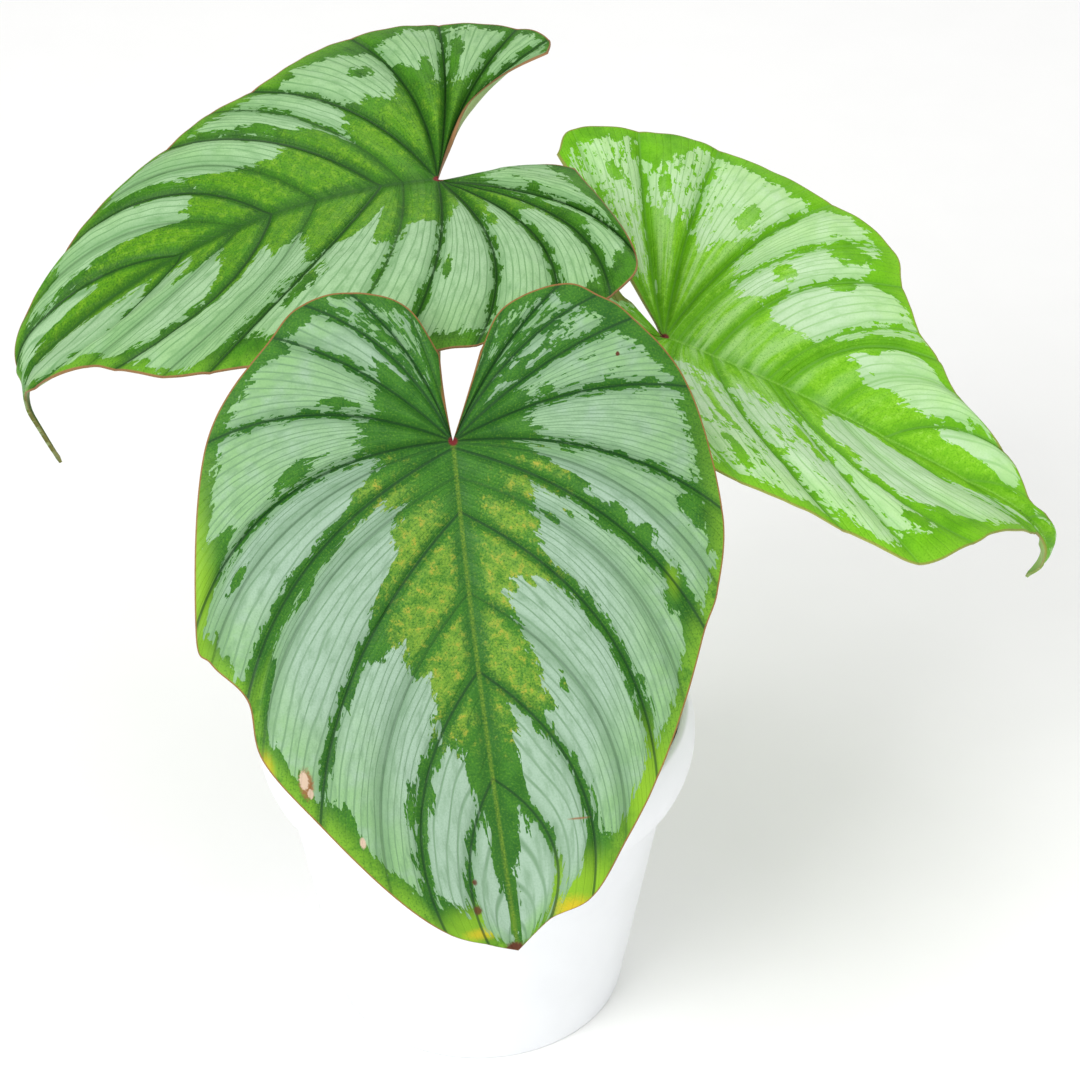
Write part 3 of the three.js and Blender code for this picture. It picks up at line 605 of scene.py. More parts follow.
def finish(piece, material, sharp_degrees, node):
    piece.data.shade_smooth()
    piece.data.set_sharp_from_angle(angle=math.radians(sharp_degrees))
    piece.data.materials.append(material)
    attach(piece, "root")
    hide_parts(node)


def around(count):
    """Angles evenly spaced round a circle."""
    return 2 * math.pi * np.arange(count) / count


def level_ring(radius, height, sides):
    angles = around(sides)
    return np.stack([radius * np.cos(angles), radius * np.sin(angles), np.full(sides, height)], -1)


def capped_rings(rings, first, last):
    """Points and faces of a closed skin: rings joined in turn, and a fan to a point at each end."""
    sides = len(rings[0])
    points = np.concatenate([*rings, [first], [last]])
    start, end, top = len(points) - 2, len(points) - 1, (len(rings) - 1) * sides
    corners = [(k, (k + 1) % sides) for k in range(sides)]
    faces = []
    for low in range(0, top, sides):
        high = low + sides
        faces += [[low + k, low + after, high + after, high + k] for k, after in corners]
    for k, after in corners:
        faces += [[start, after, k], [end, top + k, top + after]]
    return points, faces


def turned_over(faces):
    """The faces seen from their other side, with the same first corner."""
    return [[face[0], *face[:0:-1]] for face in faces]


def joined(parts):
    """Several (points, faces) as one."""
    points, faces = [], []
    first = 0
    for part_points, part_faces in parts:
        points.append(part_points)
        faces += [[first + corner for corner in face] for face in part_faces]
        first += len(part_points)
    return np.concatenate(points), faces


class Graph:
    """Short names for the nodes of one material."""

    def __init__(self, name):
        self.material = bpy.data.materials.new(name)
        self.material.use_nodes = True
        self.tree = self.material.node_tree
        self.shader = self.tree.nodes["Principled BSDF"]

    def plug(self, value, socket):
        if isinstance(value, bpy.types.NodeSocket):
            self.tree.links.new(value, socket)
        else:
            socket.default_value = value

    def node(self, kind, plugged=(), **settings):
        """A new node with these settings, and a value or a link in each of its first inputs."""
        made = self.tree.nodes.new(kind)
        for key, value in settings.items():
            setattr(made, key, value)
        for number, value in enumerate(plugged):
            self.plug(value, made.inputs[number])
        return made

    def math(self, operation, first, second=0.0):
        return self.node("ShaderNodeMath", (first, second), operation=operation).outputs[0]

    def times(self, first, *others):
        for other in others:
            first = self.math("MULTIPLY", first, other)
        return first

    def varied(self, base, noise, size):
        """The base with a share of the noise on it."""
        return self.math("ADD", base, self.times(noise, size))

    def scaled(self, vector, scale):
        return self.node("ShaderNodeVectorMath", (vector, scale), operation="MULTIPLY").outputs[0]

    def length(self, vector):
        return self.node("ShaderNodeVectorMath", (vector,), operation="LENGTH").outputs["Value"]

    def axes(self, vector):
        return self.node("ShaderNodeSeparateXYZ", (vector,)).outputs

    def step(self, value, low, high):
        """0 at low and 1 at high, with a smooth rise between them."""
        plugged = (value, low, high)
        return self.node("ShaderNodeMapRange", plugged, interpolation_type="SMOOTHSTEP").outputs["Result"]

    def mix(self, share, first, second):
        made = self.node("ShaderNodeMix", (share,), data_type="RGBA")
        self.plug(first, made.inputs[6])
        self.plug(second, made.inputs[7])
        return made.outputs[2]

    def layers(self, colour, *layers):
        """A colour under layers, each (how far it covers, its colour)."""
        for cover, layer in layers:
            colour = self.mix(cover, colour, layer)
        return colour

    def number(self, name):
        return self.node("ShaderNodeAttribute", attribute_name=name).outputs["Fac"]

    def place(self, name):
        return self.node("ShaderNodeAttribute", attribute_name=name).outputs["Vector"]

    def object_place(self):
        return self.node("ShaderNodeTexCoord").outputs["Object"]

    def noise(self, vector, scale, detail=2.0, roughness=0.5):
        made = self.node("ShaderNodeTexNoise", (self.scaled(vector, scale),))
        for name, value in (("Scale", 1), ("Detail", detail), ("Roughness", roughness)):
            made.inputs[name].default_value = value
        return made.outputs["Fac"]

    def chance(self, vector, scale, metric="EUCLIDEAN"):
        """One random number for each cell."""
        cell = self.node("ShaderNodeTexVoronoi", (self.scaled(vector, scale),), distance=metric)
        cell.inputs["Scale"].default_value = 1
        return self.node("ShaderNodeSeparateColor", (cell.outputs["Color"],)).outputs[0]

    def look(self, colour, roughness):
        self.plug(colour, self.shader.inputs["Base Color"])
        self.plug(roughness, self.shader.inputs["Roughness"])
        return self.material

    def bump(self, height, strength, distance):
        """Fine relief, with its height in millimetres."""
        made = self.node("ShaderNodeBump")
        values = {"Height": height, "Strength": strength, "Distance": distance * MM}
        for name, value in values.items():
            self.plug(value, made.inputs[name])
        self.plug(made.outputs["Normal"], self.shader.inputs["Normal"])


# Blade: the flat layout. side is 0 for the left half and 1 for the right; c counts the veins from the
# lobe's inner margin to the tip, and t goes along a vein from the midrib to the margin.
START, STRENGTH, ACROSS, DOWN, LIFT, BOW = range(6)


def vein_rows(leaf, side):
    return np.array([[row[0], row[1], *row[2 + side]] for row in leaf["veins"]], float)


def rows_at(rows, c):
    """The veins' values at c, on a smooth curve through the rows, and their strength on straight lines."""
    last = len(rows) - 1
    cell = np.minimum(np.floor(c).astype(int), last - 1)
    part = (c - cell)[..., None]
    b, d = rows[cell], rows[cell + 1]
    a = np.where((cell > 0)[..., None], rows[np.maximum(cell - 1, 0)], 2 * b - d)
    e = np.where((cell + 2 <= last)[..., None], rows[np.minimum(cell + 2, last)], 2 * d - b)
    cubic = (3 * b - a - 3 * d + e) * part**3
    found = 0.5 * (2 * b + (d - a) * part + (2 * a - 5 * b + 4 * d - e) * part**2 + cubic)
    found[..., STRENGTH] = (b + (d - b) * part)[..., STRENGTH]
    for column in (START, ACROSS):
        found[..., column] = np.maximum(0, found[..., column])
    return found


def flat_place(rows, c, t):
    """Across and down, along each vein's bowed line from the midrib to the margin."""
    row = rows_at(rows, c)
    start, across, down, bow = (row[..., column] for column in (START, ACROSS, DOWN, BOW))
    drop = down - start
    bend_across = VEIN_BOW_PLACE * across + bow * drop
    bend_down = start + VEIN_BOW_PLACE * drop - bow * across
    near, mid, far = (1 - t) ** 2, 2 * t * (1 - t), t**2
    return np.stack([mid * bend_across + far * across, near * start + mid * bend_down + far * down])


def quilt_height(leaf, rows, c, t):
    before = rows_at(rows, np.maximum(0, c - QUILT_PROBE))
    after = rows_at(rows, np.minimum(len(rows) - 1, c + QUILT_PROBE))
    apart = np.hypot(after[..., ACROSS] - before[..., ACROSS], after[..., DOWN] - before[..., DOWN])
    filled = np.minimum(1, apart / (2 * QUILT_PROBE) * t / FULL_QUILT_CELL)
    size = leaf["quilt"] * filled * (1 - QUILT_EDGE_LOSS * t**QUILT_EDGE_POWER)
    swell = np.abs(np.sin(math.pi * c)) ** QUILT_ROUNDNESS
    found = rows_at(rows, c)
    slim = np.where(c > len(rows) / 2, np.minimum(1, found[..., ACROSS] / FULL_QUILT_WIDTH), 1)
    return slim * size * (swell + (1 - swell) * (1 - found[..., STRENGTH]))


def bent_line(knots):
    """The place reached by walking along a line whose slope angle is given at some distances."""
    marks = np.arange(-BEND_REACH, BEND_REACH + 1)
    slopes = np.radians(between(knots, marks[:-1] + 0.5))
    ahead = np.concatenate([[0], np.cumsum(np.cos(slopes))])
    up = np.concatenate([[0], np.cumsum(np.sin(slopes))])
    ahead -= ahead[BEND_REACH]
    up -= up[BEND_REACH]

    def walked(distance):
        angle = np.radians(between(knots, distance))
        return np.interp(distance, marks, ahead), np.interp(distance, marks, up), angle

    return walked


def leaf_axes(leaf):
    """Where the blade's right, back and up point at its stalk."""
    heading, fall, roll = (math.radians(leaf[key]) for key in ("heading", "fall", "roll"))
    level = np.array([math.cos(heading), math.sin(heading), 0])
    upright = np.array([0, 0, 1])
    back = -math.cos(fall) * level + math.sin(fall) * upright
    up = math.sin(fall) * level + math.cos(fall) * upright
    right = np.cross(back, up)
    return math.cos(roll) * right + math.sin(roll) * up, back, math.cos(roll) * up - math.sin(roll) * right


def blade_placer(leaf):
    """What puts a place of the flat layout where it is on the bent blade."""
    midrib = bent_line(leaf["droop"])
    folds = [bent_line(knots) for knots in leaf["folds"]]
    right, back, up = leaf_axes(leaf)

    def place(side, across, down, height, thickness):
        ahead, drop, angle = midrib(down)
        out, lifted, tilt = folds[side](across)
        tilt = np.where(across > 0, tilt, 0)
        way = 1 if side else -1
        rise = lifted + height + thickness * np.cos(tilt)
        sweep = leaf["sweep"] * (np.maximum(0, down) / 100) ** 2
        sideways = way * (out - thickness * np.sin(tilt)) + sweep
        backwards = -ahead - np.sin(angle) * rise
        upwards = -drop + np.cos(angle) * rise
        parts = (sideways[..., None] * right, backwards[..., None] * back, upwards[..., None] * up)
        return np.array(leaf["stalk"]) + sum(parts)

    return place


def mesh_lines(leaf):
    """The lines of a blade's mesh, as values of c: every vein is one of them."""
    both = [vein_rows(leaf, side) for side in (0, 1)]
    lines = [0.0]
    for cell in range(len(both[0]) - 1):
        ends = [np.hypot(*(rows[cell + 1] - rows[cell])[[ACROSS, DOWN]]) for rows in both]
        count = max(LEAST_LINES, round(max(ends) / MESH_STEP))
        lines += [cell + k / count for k in range(1, count + 1)]
    return np.array(lines)


def margin_run(leaf, lines):
    """How far along the margin each mesh line ends, as the mean of both halves."""
    runs = []
    for side in (0, 1):
        rows = rows_at(vein_rows(leaf, side), lines)
        steps = np.hypot(np.diff(rows[:, ACROSS]), np.diff(rows[:, DOWN]))
        runs.append(np.concatenate([[0], np.cumsum(steps)]))
    return sum(runs) / 2


def half_layout(leaf, side, lines, shares):
    """Everything about one half's mesh that is measured on the flat layout, one array for each thing."""
    rows = vein_rows(leaf, side)
    last = len(rows) - 1
    c, t = np.meshgrid(lines, shares, indexing="ij")
    flat = flat_place(rows, c, t)
    spread, reach = np.gradient(flat, lines, axis=1), np.gradient(flat, shares, axis=2)
    length = np.maximum(np.hypot(*reach), TINY)
    pitch = np.maximum(np.abs(spread[0] * reach[1] - spread[1] * reach[0]) / length, LEAST_PITCH)
    along = reach / length
    inward = spread - (spread * along).sum(0) * along
    cell = np.minimum(np.floor(c).astype(int), last - 1)
    before, after = (c - cell) * pitch, (cell + 1 - c) * pitch
    margin = np.maximum(np.hypot(*spread[:, :, -1:]), TINY)
    edge = np.minimum((1 - t) * length * pitch / margin, np.where(c < INNER_ROWS, c * pitch, FAR))
    return {
        "side": side,
        "way": 1 if side else -1,
        "rows": rows,
        "c": c,
        "t": t,
        "across": flat[0],
        "down": flat[1],
        "run": np.cumsum(np.pad(length[:, :-1], ((0, 0), (1, 0))), 1) / len(shares),
        "length": np.hypot(*np.diff(flat, axis=2)).sum(1)[:, None],
        "pitch": pitch,
        "inward": inward / np.maximum(np.hypot(*inward), TINY),
        "edge": edge * (1 + TIP_MARGIN * smooth_step(last - 2.5, last - 1.2, c)),
        "veins": ((before, cell), (after, cell + 1)),
        "gap": np.minimum(before, after),
        "strength": np.where(before < after, rows[cell, STRENGTH], rows[cell + 1, STRENGTH]),
    }


def rolled_edge(half, width, radius, offset):
    """How the lobe's inner margin curls up and over: the shift across and down, and the rise, of a point
    that lies offset above the middle of the blade."""
    c, t = half["c"], half["t"]
    depth = np.where(c < INNER_ROWS, np.clip(width - c * half["pitch"], 0, width), 0)
    depth = depth * smooth_step(0, 0.5, t) * (1 - 0.6 * t**3)
    turn = depth / radius
    shift = half["inward"] * (depth - (radius - offset) * np.sin(turn))
    return *shift, (radius - offset) * (1 - np.cos(turn))


def silver_field(marks, half):
    """How far a point is inside the silver, in wanders: below 0 it is green."""
    c, t, length, rows = half["c"], half["t"], half["length"], half["rows"]
    from_start = (t - between(marks["starts"], c)) * length / START_WANDER
    from_top = (between(marks["tops"], c) - t) * length / TOP_WANDER
    field = np.minimum(from_start, from_top)
    widths = np.array([marks["wide"].get(row, PLAIN_BAND) for row in range(len(rows))])
    for gap, vein in half["veins"]:
        strength = rows[vein, STRENGTH]
        inside = (gap - widths[vein] * smooth_step(0.3, 0.8, strength)) / BAND_WANDER
        field = np.minimum(field, np.where(strength > STRONG_VEIN, inside, FULL_SILVER))
    field = np.minimum(field, between(marks["dense"], c))

    def outside(row, share, half_rows, half_length):
        return 2 * (np.hypot((c - row) / half_rows, (t - share) / half_length) - 1)

    for patch in marks["green"]:
        field = np.minimum(field, outside(*patch))
    for patch in marks["silver"]:
        field = np.maximum(field, -outside(*patch))
    return np.clip(field, -MOST_WANDERS, MOST_WANDERS)


def bright_field(leaf, half):
    """How bright the green is beside the midrib, from 0 to 1."""
    c, t, down = half["c"], half["t"], half["down"]
    shown = smooth_step(0.01, 0.08, t) * (1 - smooth_step(0.6, 1.3, t / leaf["bright_until"]))
    shown = shown * (1 - smooth_step(*leaf["bright_reach"], down))
    shown = shown * smooth_step(*leaf["bright_round"], np.hypot(half["across"], down))
    return shown * smooth_step(leaf["bright_from"] - 1, leaf["bright_from"] + 1, c)


def upper_height(leaf, half):
    """The relief of the upper face: the quilting and the lift, less the grooves, and fine puckers."""
    c, t, gap, across = half["c"], half["t"], half["gap"], half["across"]
    lift = rows_at(half["rows"], c)[..., LIFT] * t**LIFT_POWER
    groove = VEIN_GROOVE * bell(gap, VEIN_GROOVE_WIDTH) * half["strength"]
    groove = groove * np.sqrt(1 - t) * smooth_step(0, 0.05, t)
    midrib = MIDRIB_GROOVE * bell(across, MIDRIB_GROOVE_WIDTH) * (1 - c / len(half["rows"]))
    full = smooth_step(0, PUCKER_FROM_MIDRIB, half["run"]) * smooth_step(0, PUCKER_FROM_VEIN, gap)
    pucker = PUCKER * waves(half["way"] * across, half["down"], PUCKER_SIZE, leaf["seed"]) * full
    return quilt_height(leaf, half["rows"], c, t) + lift - groove - midrib + pucker


def under_depth(half):
    """Half of the blade's thickness, and how far the midrib and the ribs stand out below it."""
    c, t = half["c"], half["t"]
    share = c / (len(half["rows"]) - 1)
    midrib = MIDRIB_DEPTH * (1 - MIDRIB_TAPER * share) * bell(half["across"], MIDRIB_WIDTH)
    rib = VEIN_RIB * half["strength"] * (1 - t) * bell(half["gap"], VEIN_RIB_WIDTH) * smooth_step(0, 0.06, t)
    thickness = BLADE_THICKNESS + (EDGE_THICKNESS - BLADE_THICKNESS) * t**EDGE_POWER
    return thickness / 2, midrib + rib


def blade_index(leaf, lines, steps):
    """The number of each point in both halves' grids, which share the midrib's points and the tip."""
    spine = np.cumsum(rows_at(vein_rows(leaf, 0), lines)[:, START] > 0)
    free = np.arange((len(lines) - 1) * steps).reshape(len(lines) - 1, steps)
    index = np.zeros((2, len(lines), steps + 1), int)
    index[:, :, 0] = spine
    for side in (0, 1):
        index[side, :-1, 1:] = spine[-1] + 1 + free + side * free.size
    index[:, -1, :] = spine[-1]
    return index


def half_values(leaf, half, run):
    """What a half's mesh holds for the material: a number or a place for each point."""
    flat_zero = 0 * half["t"]
    return {
        "silver": silver_field(leaf["silver"][half["side"]], half),
        "vein_gap": half["gap"],
        "vein_strength": half["strength"],
        "edge": half["edge"],
        "bright": bright_field(leaf, half),
        "weave": np.stack([run[:, None] + flat_zero, half["way"] * half["run"], flat_zero], -1),
        "flat": np.stack([half["way"] * half["across"], half["down"], flat_zero], -1),
    }


def half_sheet(leaf, half, place, height, offset):
    """The places of one half's points, on the face that lies offset above the middle of the blade."""
    across, down, rise = half["across"], half["down"], 0
    for rolled_side, width, radius in leaf["rolls"]:
        if rolled_side == half["side"]:
            shift, slide, rise = rolled_edge(half, width, radius, offset)
            across, down = across + shift, down + slide
    return place(half["side"], across, down, height + rise, offset)


def blade_mesh(leaf):
    """The numbers of the points, the places of the upper and lower face, and the values they hold."""
    lines = mesh_lines(leaf)
    run = margin_run(leaf, lines)
    place = blade_placer(leaf)
    index = blade_index(leaf, lines, STEPS_ALONG_VEIN)
    total = index.max() + 1
    tops, bottoms, held = np.zeros((total, 3)), np.zeros((total, 3)), {}
    for side, at in enumerate(index):
        half = half_layout(leaf, side, lines, np.linspace(0, 1, STEPS_ALONG_VEIN + 1))
        height = upper_height(leaf, half)
        skin, rib = under_depth(half)
        tops[at] = half_sheet(leaf, half, place, height, skin)
        bottoms[at] = half_sheet(leaf, half, place, height, -skin - rib)
        for name, values in half_values(leaf, half, run).items():
            held.setdefault(name, np.zeros((total, *values.shape[2:])))[at] = values
    return index, tops, bottoms, held


def blade_faces(index, total):
    """Quads of the upper face, the same turned over below, and a band that joins them round the edge."""
    faces = []
    for side, grid in enumerate(index):
        corners = np.stack([grid[:-1, :-1], grid[1:, :-1], grid[1:, 1:], grid[:-1, 1:]], -1).reshape(-1, 4)
        if not side:
            corners = corners[:, ::-1]
        rings = [list(dict.fromkeys(quad)) for quad in corners.tolist()]
        faces += [ring for ring in rings if len(ring) > 2]
    edges = {(face[i - 1], face[i]) for face in faces for i in range(len(face))}
    under = [[total + corner for corner in reversed(face)] for face in faces]
    rim = [[b, a, a + total, b + total] for a, b in sorted(edges) if (b, a) not in edges]
    return faces + under + rim


class BladeGraph(Graph):
    """The nodes of one blade's material: what the mesh holds, the noises, and a function for each part."""

    def __init__(self, leaf):
        super().__init__(f"blade_{leaf['name']}")
        self.leaf = leaf
        column = LEAVES.index(leaf)
        self.colour = {part: leaf_tone(each[column]) for part, each in LEAF_COLOURS.items()}
        self.gap, self.strength, self.edge = map(self.number, ("vein_gap", "vein_strength", "edge"))
        self.flat, weave = self.place("flat"), self.place("weave")
        across, self.down, _ = self.axes(self.flat)
        self.off_midrib = self.math("ABSOLUTE", across)
        self.from_stalk = self.length(self.flat)
        self.tip = self.step(self.down, *leaf["tip_from"])
        self.noises = {}
        for name, (layout, scale, detail, roughness) in BLADE_NOISES.items():
            self.noises[name] = self.noise(self.place(layout), scale, detail, roughness)
        for name, scale in SILVER_CELLS.items():
            self.noises[name] = self.chance(weave, scale, "CHEBYCHEV")
        self.small_veins = self.wavering_lines(self.axes(weave)[0])

    def jagged(self, value, jags):
        """A value made uneven: jags says how far each noise moves it from its lowest to its highest."""
        for name, size in jags.items():
            value = self.varied(value, self.math("SUBTRACT", self.noises[name], 0.5), size)
        return value

    def wavering_lines(self, place):
        phase = self.math("DIVIDE", place, SMALL_VEIN_PITCH)
        phase = self.varied(phase, self.noises["wobble"], SMALL_VEIN_WOBBLE)
        ridge = self.math("ABSOLUTE", self.math("SUBTRACT", self.math("FRACT", phase), 0.5))
        return self.step(ridge, 0.36, 0.48)

    def marked(self, colour, marks):
        """Adds small ellipses of damage or yellowing, with rough edges."""
        for across, down, wide, long, soft, share, kind in marks:
            middle = (across, down, 0)
            shift = self.node("ShaderNodeVectorMath", (self.flat, middle), operation="SUBTRACT")
            reach = self.length(self.scaled(shift.outputs[0], (1 / wide, 1 / long, 0)))
            cover = self.step(self.jagged(reach, MARK_JAGS), 1 + soft, 1 - soft)
            colour = self.mix(self.times(cover, share), colour, leaf_tone(MARK_COLOURS[kind]))
        return colour

    def silver_mask(self):
        """Where the silver is. Its edge breaks along the small veins into long blocks."""
        return self.step(self.jagged(self.number("silver"), SILVER_JAGS), -0.07, 0.07)

    def silver(self):
        """Greener towards the margin, with darker small veins and specks, and painted shade by the vein
        grooves.
        """
        tone, speck, shade = self.noises["tone"], self.noises["speck"], self.colour["shade"]
        outer = self.times(self.step(self.edge, 22, 3), self.step(self.noises["mottle"], 0.15, 0.6))
        return self.layers(
            self.colour["silver"],
            (outer, self.colour["outer"]),
            (self.step(tone, 0.6, 0.1), shade),
            (self.times(self.small_veins, self.step(tone, 0.2, 0.6), 0.8), shade),
            (self.times(self.step(speck, 0.4, 0.8), 0.3), shade),
            # painted shade where the swellings dip into the vein grooves
            (self.times(self.step(self.gap, 3.2, 0.6), 0.5), shade),
        )

    def bright_cover(self):
        """The uneven bright patches beside the midrib."""
        bright = self.number("bright")
        uneven = self.jagged(self.times(bright, self.step(self.gap, 0.1, 2.4)), BRIGHT_JAGS)
        return self.times(self.step(uneven, 0, 1.5), self.step(bright, 0, 0.3))

    def painted_highlight_cover(self):
        """Painted highlight: pale streaks on the tops of the swellings near the stalk."""
        near = self.times(self.step(self.gap, 0.6, 2.6), self.step(self.from_stalk, 58, 16))
        return self.times(near, self.step(self.noises["sheen"], 0.38, 0.62), self.leaf["painted_highlight"])

    def green(self):
        """Brighter by the midrib and margin, grained, with tints; darker by the veins, partly as painted
        trough shade.
        """
        mottle, blotch, speck = (self.noises[name] for name in ("mottle", "blotch", "speck"))
        colour, bright = self.colour, self.bright_cover()
        flecks = self.times(bright, self.step(blotch, 0.5, 0.68), self.step(speck, 0.3, 0.6), 0.7)
        rim = self.times(self.step(self.edge, 5, 0.5), self.step(mottle, 0.3, 0.5))
        rim = self.times(rim, self.step(self.down, -20, 40))
        # Darker along the veins and beside the midrib: partly the leaf's own darker green, partly painted
        # shade in the sunken troughs
        vein_colour_and_shade = self.times(self.step(self.gap, 2.1, 0.2), self.strength)
        vein_colour_and_shade = self.math("MAXIMUM", vein_colour_and_shade, self.step(self.off_midrib, 3.4, 0.8))
        green = self.layers(
            colour["green"],
            (self.step(mottle, 0.35, 0.75), colour["dark"]),
            (self.times(bright, 0.9), colour["bright"]),
            (flecks, colour["fleck"]),
            (rim, colour["rim"]),
            (self.times(vein_colour_and_shade, self.leaf["vein_shade"]), colour["dark"]),
            # painted highlight on the swellings near the stalk
            (self.painted_highlight_cover(), colour["painted_highlight"]),
            (self.times(self.step(speck, 0.5, 0.75), 0.4), colour["rim"]),
            (self.times(self.step(speck, 0.5, 0.3), 0.6), colour["dark"]),
        )
        return self.marked(green, self.leaf["tints"])

    def upper_face(self):
        """Green and silver under the vein lines, the spots and the dot where the stalk joins."""
        vein_line = self.times(self.step(self.gap, 0.42, 0.12), self.strength, 0.75)
        midrib = self.times(self.step(self.off_midrib, 0.75, 0.15), self.step(self.down, -1, 2))
        midrib = self.times(midrib, self.step(self.noises["speck"], 0.2, 0.9))
        face = self.layers(
            self.green(),
            (self.silver_mask(), self.silver()),
            (vein_line, self.colour["line"]),
            (midrib, self.colour["midrib"]),
        )
        face = self.marked(face, self.leaf["spots"])
        return self.mix(self.step(self.from_stalk, 1.3, 0.7), face, tint("stalk_joint"))

    def lower_face(self):
        """Paler and plainer, with lighter ribs."""
        return self.layers(
            self.colour["under"],
            (self.times(self.step(self.noises["mottle"], 0.3, 0.7), 0.4), self.colour["rim"]),
            (self.tip, self.colour["tip"]),
            (self.times(self.step(self.gap, 1.2, 0.3), self.strength), tint("under_rib")),
        )

    def margin_cover(self):
        """The reddish line along the margin, weaker at the tip."""
        away_from_tip = self.math("SUBTRACT", 1, self.times(self.tip, 0.65))
        return self.times(self.step(self.edge, 0.42, 0.2), self.leaf["edge_shade"], away_from_tip)


def blade_material(leaf):
    graph = BladeGraph(leaf)
    skin = graph.mix(graph.number("upper"), graph.lower_face(), graph.upper_face())
    skin = graph.mix(graph.margin_cover(), skin, graph.colour["edge"])
    grain = graph.times(graph.noises["fine"], 0.4)
    graph.bump(graph.math("SUBTRACT", grain, graph.times(graph.small_veins, 0.5)), 0.6, 0.25)
    graph.shader.inputs["Specular IOR Level"].default_value = LEAF_SHINE
    return graph.look(skin, graph.varied(0.36, graph.noises["tone"], 0.2))


def make_blade(leaf):
    name = f"blade_{leaf['name']}"
    index, tops, bottoms, held = blade_mesh(leaf)
    total = len(tops)
    held = {key: np.concatenate([values, values]) for key, values in held.items()}
    held["upper"] = np.concatenate([np.ones(total), np.zeros(total)])
    points = np.concatenate([tops, bottoms])
    piece = mesh_object(f"{name}_skin", points, blade_faces(index, total), **held)
    finish(piece, blade_material(leaf), 50, name)


def smooth_curve(points, steps):
    """A centripetal curve through the points, as places evenly spaced along it, and its length."""
    points = np.array(points, float)
    padded = np.vstack([2 * points[0] - points[1], points, 2 * points[-1] - points[-2]])
    fine = []
    for a, b, c, d in zip(padded[:-3], padded[1:-2], padded[2:-1], padded[3:]):
        first, mid, last = (np.linalg.norm(q - p) ** 0.5 for p, q in ((a, b), (b, c), (c, d)))
        leave = mid * ((b - a) / first - (c - a) / (first + mid) + (c - b) / mid)
        arrive = mid * ((c - b) / mid - (d - b) / (mid + last) + (d - c) / last)
        for part in np.linspace(0, 1, CURVE_POINTS, endpoint=False):
            square, cube = part**2, part**3
            bend = (-3 * b + 3 * c - 2 * leave - arrive) * square
            fine.append(b + leave * part + bend + (2 * b - 2 * c + leave + arrive) * cube)
    fine = np.array(fine + [points[-1]])
    run = np.concatenate([[0], np.cumsum(np.linalg.norm(np.diff(fine, axis=0), axis=1))])
    wanted = np.linspace(0, run[-1], steps + 1)
    return np.stack([np.interp(wanted, run, fine[:, axis]) for axis in range(3)], -1), run[-1]


def tube(path, steps, sides, radius_at):
    """Points and faces of a closed tube, with each point's share along it and angle round it."""
    line, _ = smooth_curve(path, steps)
    ahead = np.gradient(line, axis=0)
    ahead /= np.linalg.norm(ahead, axis=1)[:, None]
    out = np.cross(ahead[0], RING_GUIDE)
    shares, angles, rings = np.linspace(0, 1, steps + 1), around(sides), []
    for middle, forward, share in zip(line, ahead, shares):
        out = out - forward * (out @ forward)
        out /= np.linalg.norm(out)
        ring = np.outer(np.cos(angles), out) + np.outer(np.sin(angles), np.cross(forward, out))
        rings.append(middle + radius_at(share, angles)[:, None] * ring)
    points, faces = capped_rings(rings, line[0], line[-1])
    share = np.concatenate([np.repeat(shares, sides), [0, 1]])
    angle = np.concatenate([np.tile(angles, steps + 1), [0, 0]])
    return points, faces, share, angle


# Stalks
def stalk_radius(share, angle):
    plain = STALK_RADIUS + (STALK_TOP_RADIUS - STALK_RADIUS) * share
    sheath = (STALK_BASE_RADIUS - STALK_RADIUS) * bell(share, SHEATH_REACH)
    neck = NECK_RISE * bell(share - NECK_PLACE, NECK_REACH)
    furrow = FURROW_DEPTH * bell(np.cos(angle) - 1, FURROW_WIDTH)
    return plain + sheath + neck - furrow + RIB_HEIGHT * np.cos(RIB_COUNT * angle)


def stalk_material():
    graph = Graph("stalk")
    streaks, share = graph.place("weave"), graph.number("share")
    fibre = graph.noise(streaks, (3, 0.12, 1), 3, 0.6)
    blush = graph.noise(streaks, (0.8, 0.06, 1), 3, 0.6)
    dots = graph.step(graph.chance(streaks, (1.4, 0.5, 1)), 0.86, 0.9)
    colour = graph.layers(
        tint("stalk"),
        (graph.step(fibre, 0.3, 0.75), tint("stalk_fibre")),
        (graph.times(graph.step(share, 0.6, 1), graph.step(blush, 0.3, 0.6)), tint("stalk_blush")),
        (graph.times(dots, 0.5), tint("stalk_dot")),
        (graph.step(share, 0.42, 0.3), tint("stalk_foot")),
    )
    graph.bump(fibre, 0.4, 0.2)
    return graph.look(colour, graph.varied(0.38, fibre, 0.25))


def stalk_points(leaf):
    """A stalk's path, from in the mix to just below the blade's midrib, which it meets squarely."""
    place = blade_placer(leaf)
    base, *middle = leaf["stalk_path"]
    below = BLADE_THICKNESS / 2 + MIDRIB_DEPTH + GAP
    top = [
        place(0, np.array(0.0), np.array(STALK_TOP_PLACE), np.array(0.0), np.array(-depth)).tolist()
        for depth in (below + STALK_LAST_RISE, below)
    ]
    foot = [[*base, SOIL_LEVEL - STALK_DEPTH], [*base, SOIL_LEVEL + STALK_FIRST_RISE]]
    return foot + middle + top


def make_stalk(leaf, material):
    path = stalk_points(leaf)
    points, faces, share, angle = tube(path, *STALK_MESH, stalk_radius)
    _, length = smooth_curve(path, 2)
    weave = np.stack([np.abs(angle - math.pi) * STALK_RADIUS, share * length, np.sin(angle)], -1)
    piece = mesh_object(f"stalk_{leaf['name']}", points, faces, share=share, weave=weave)
    finish(piece, material, 60, f"petiole_{leaf['name']}")


# Creeping stem with ring scars, and roots
def lump(high, waves_round, waves_along, share, angle):
    return high * np.sin(waves_round * angle + waves_along * share)


def scar_at(share):
    """1 on a ring scar and 0 between them."""
    return np.cos(2 * math.pi * STEM_SCARS * share) ** 8


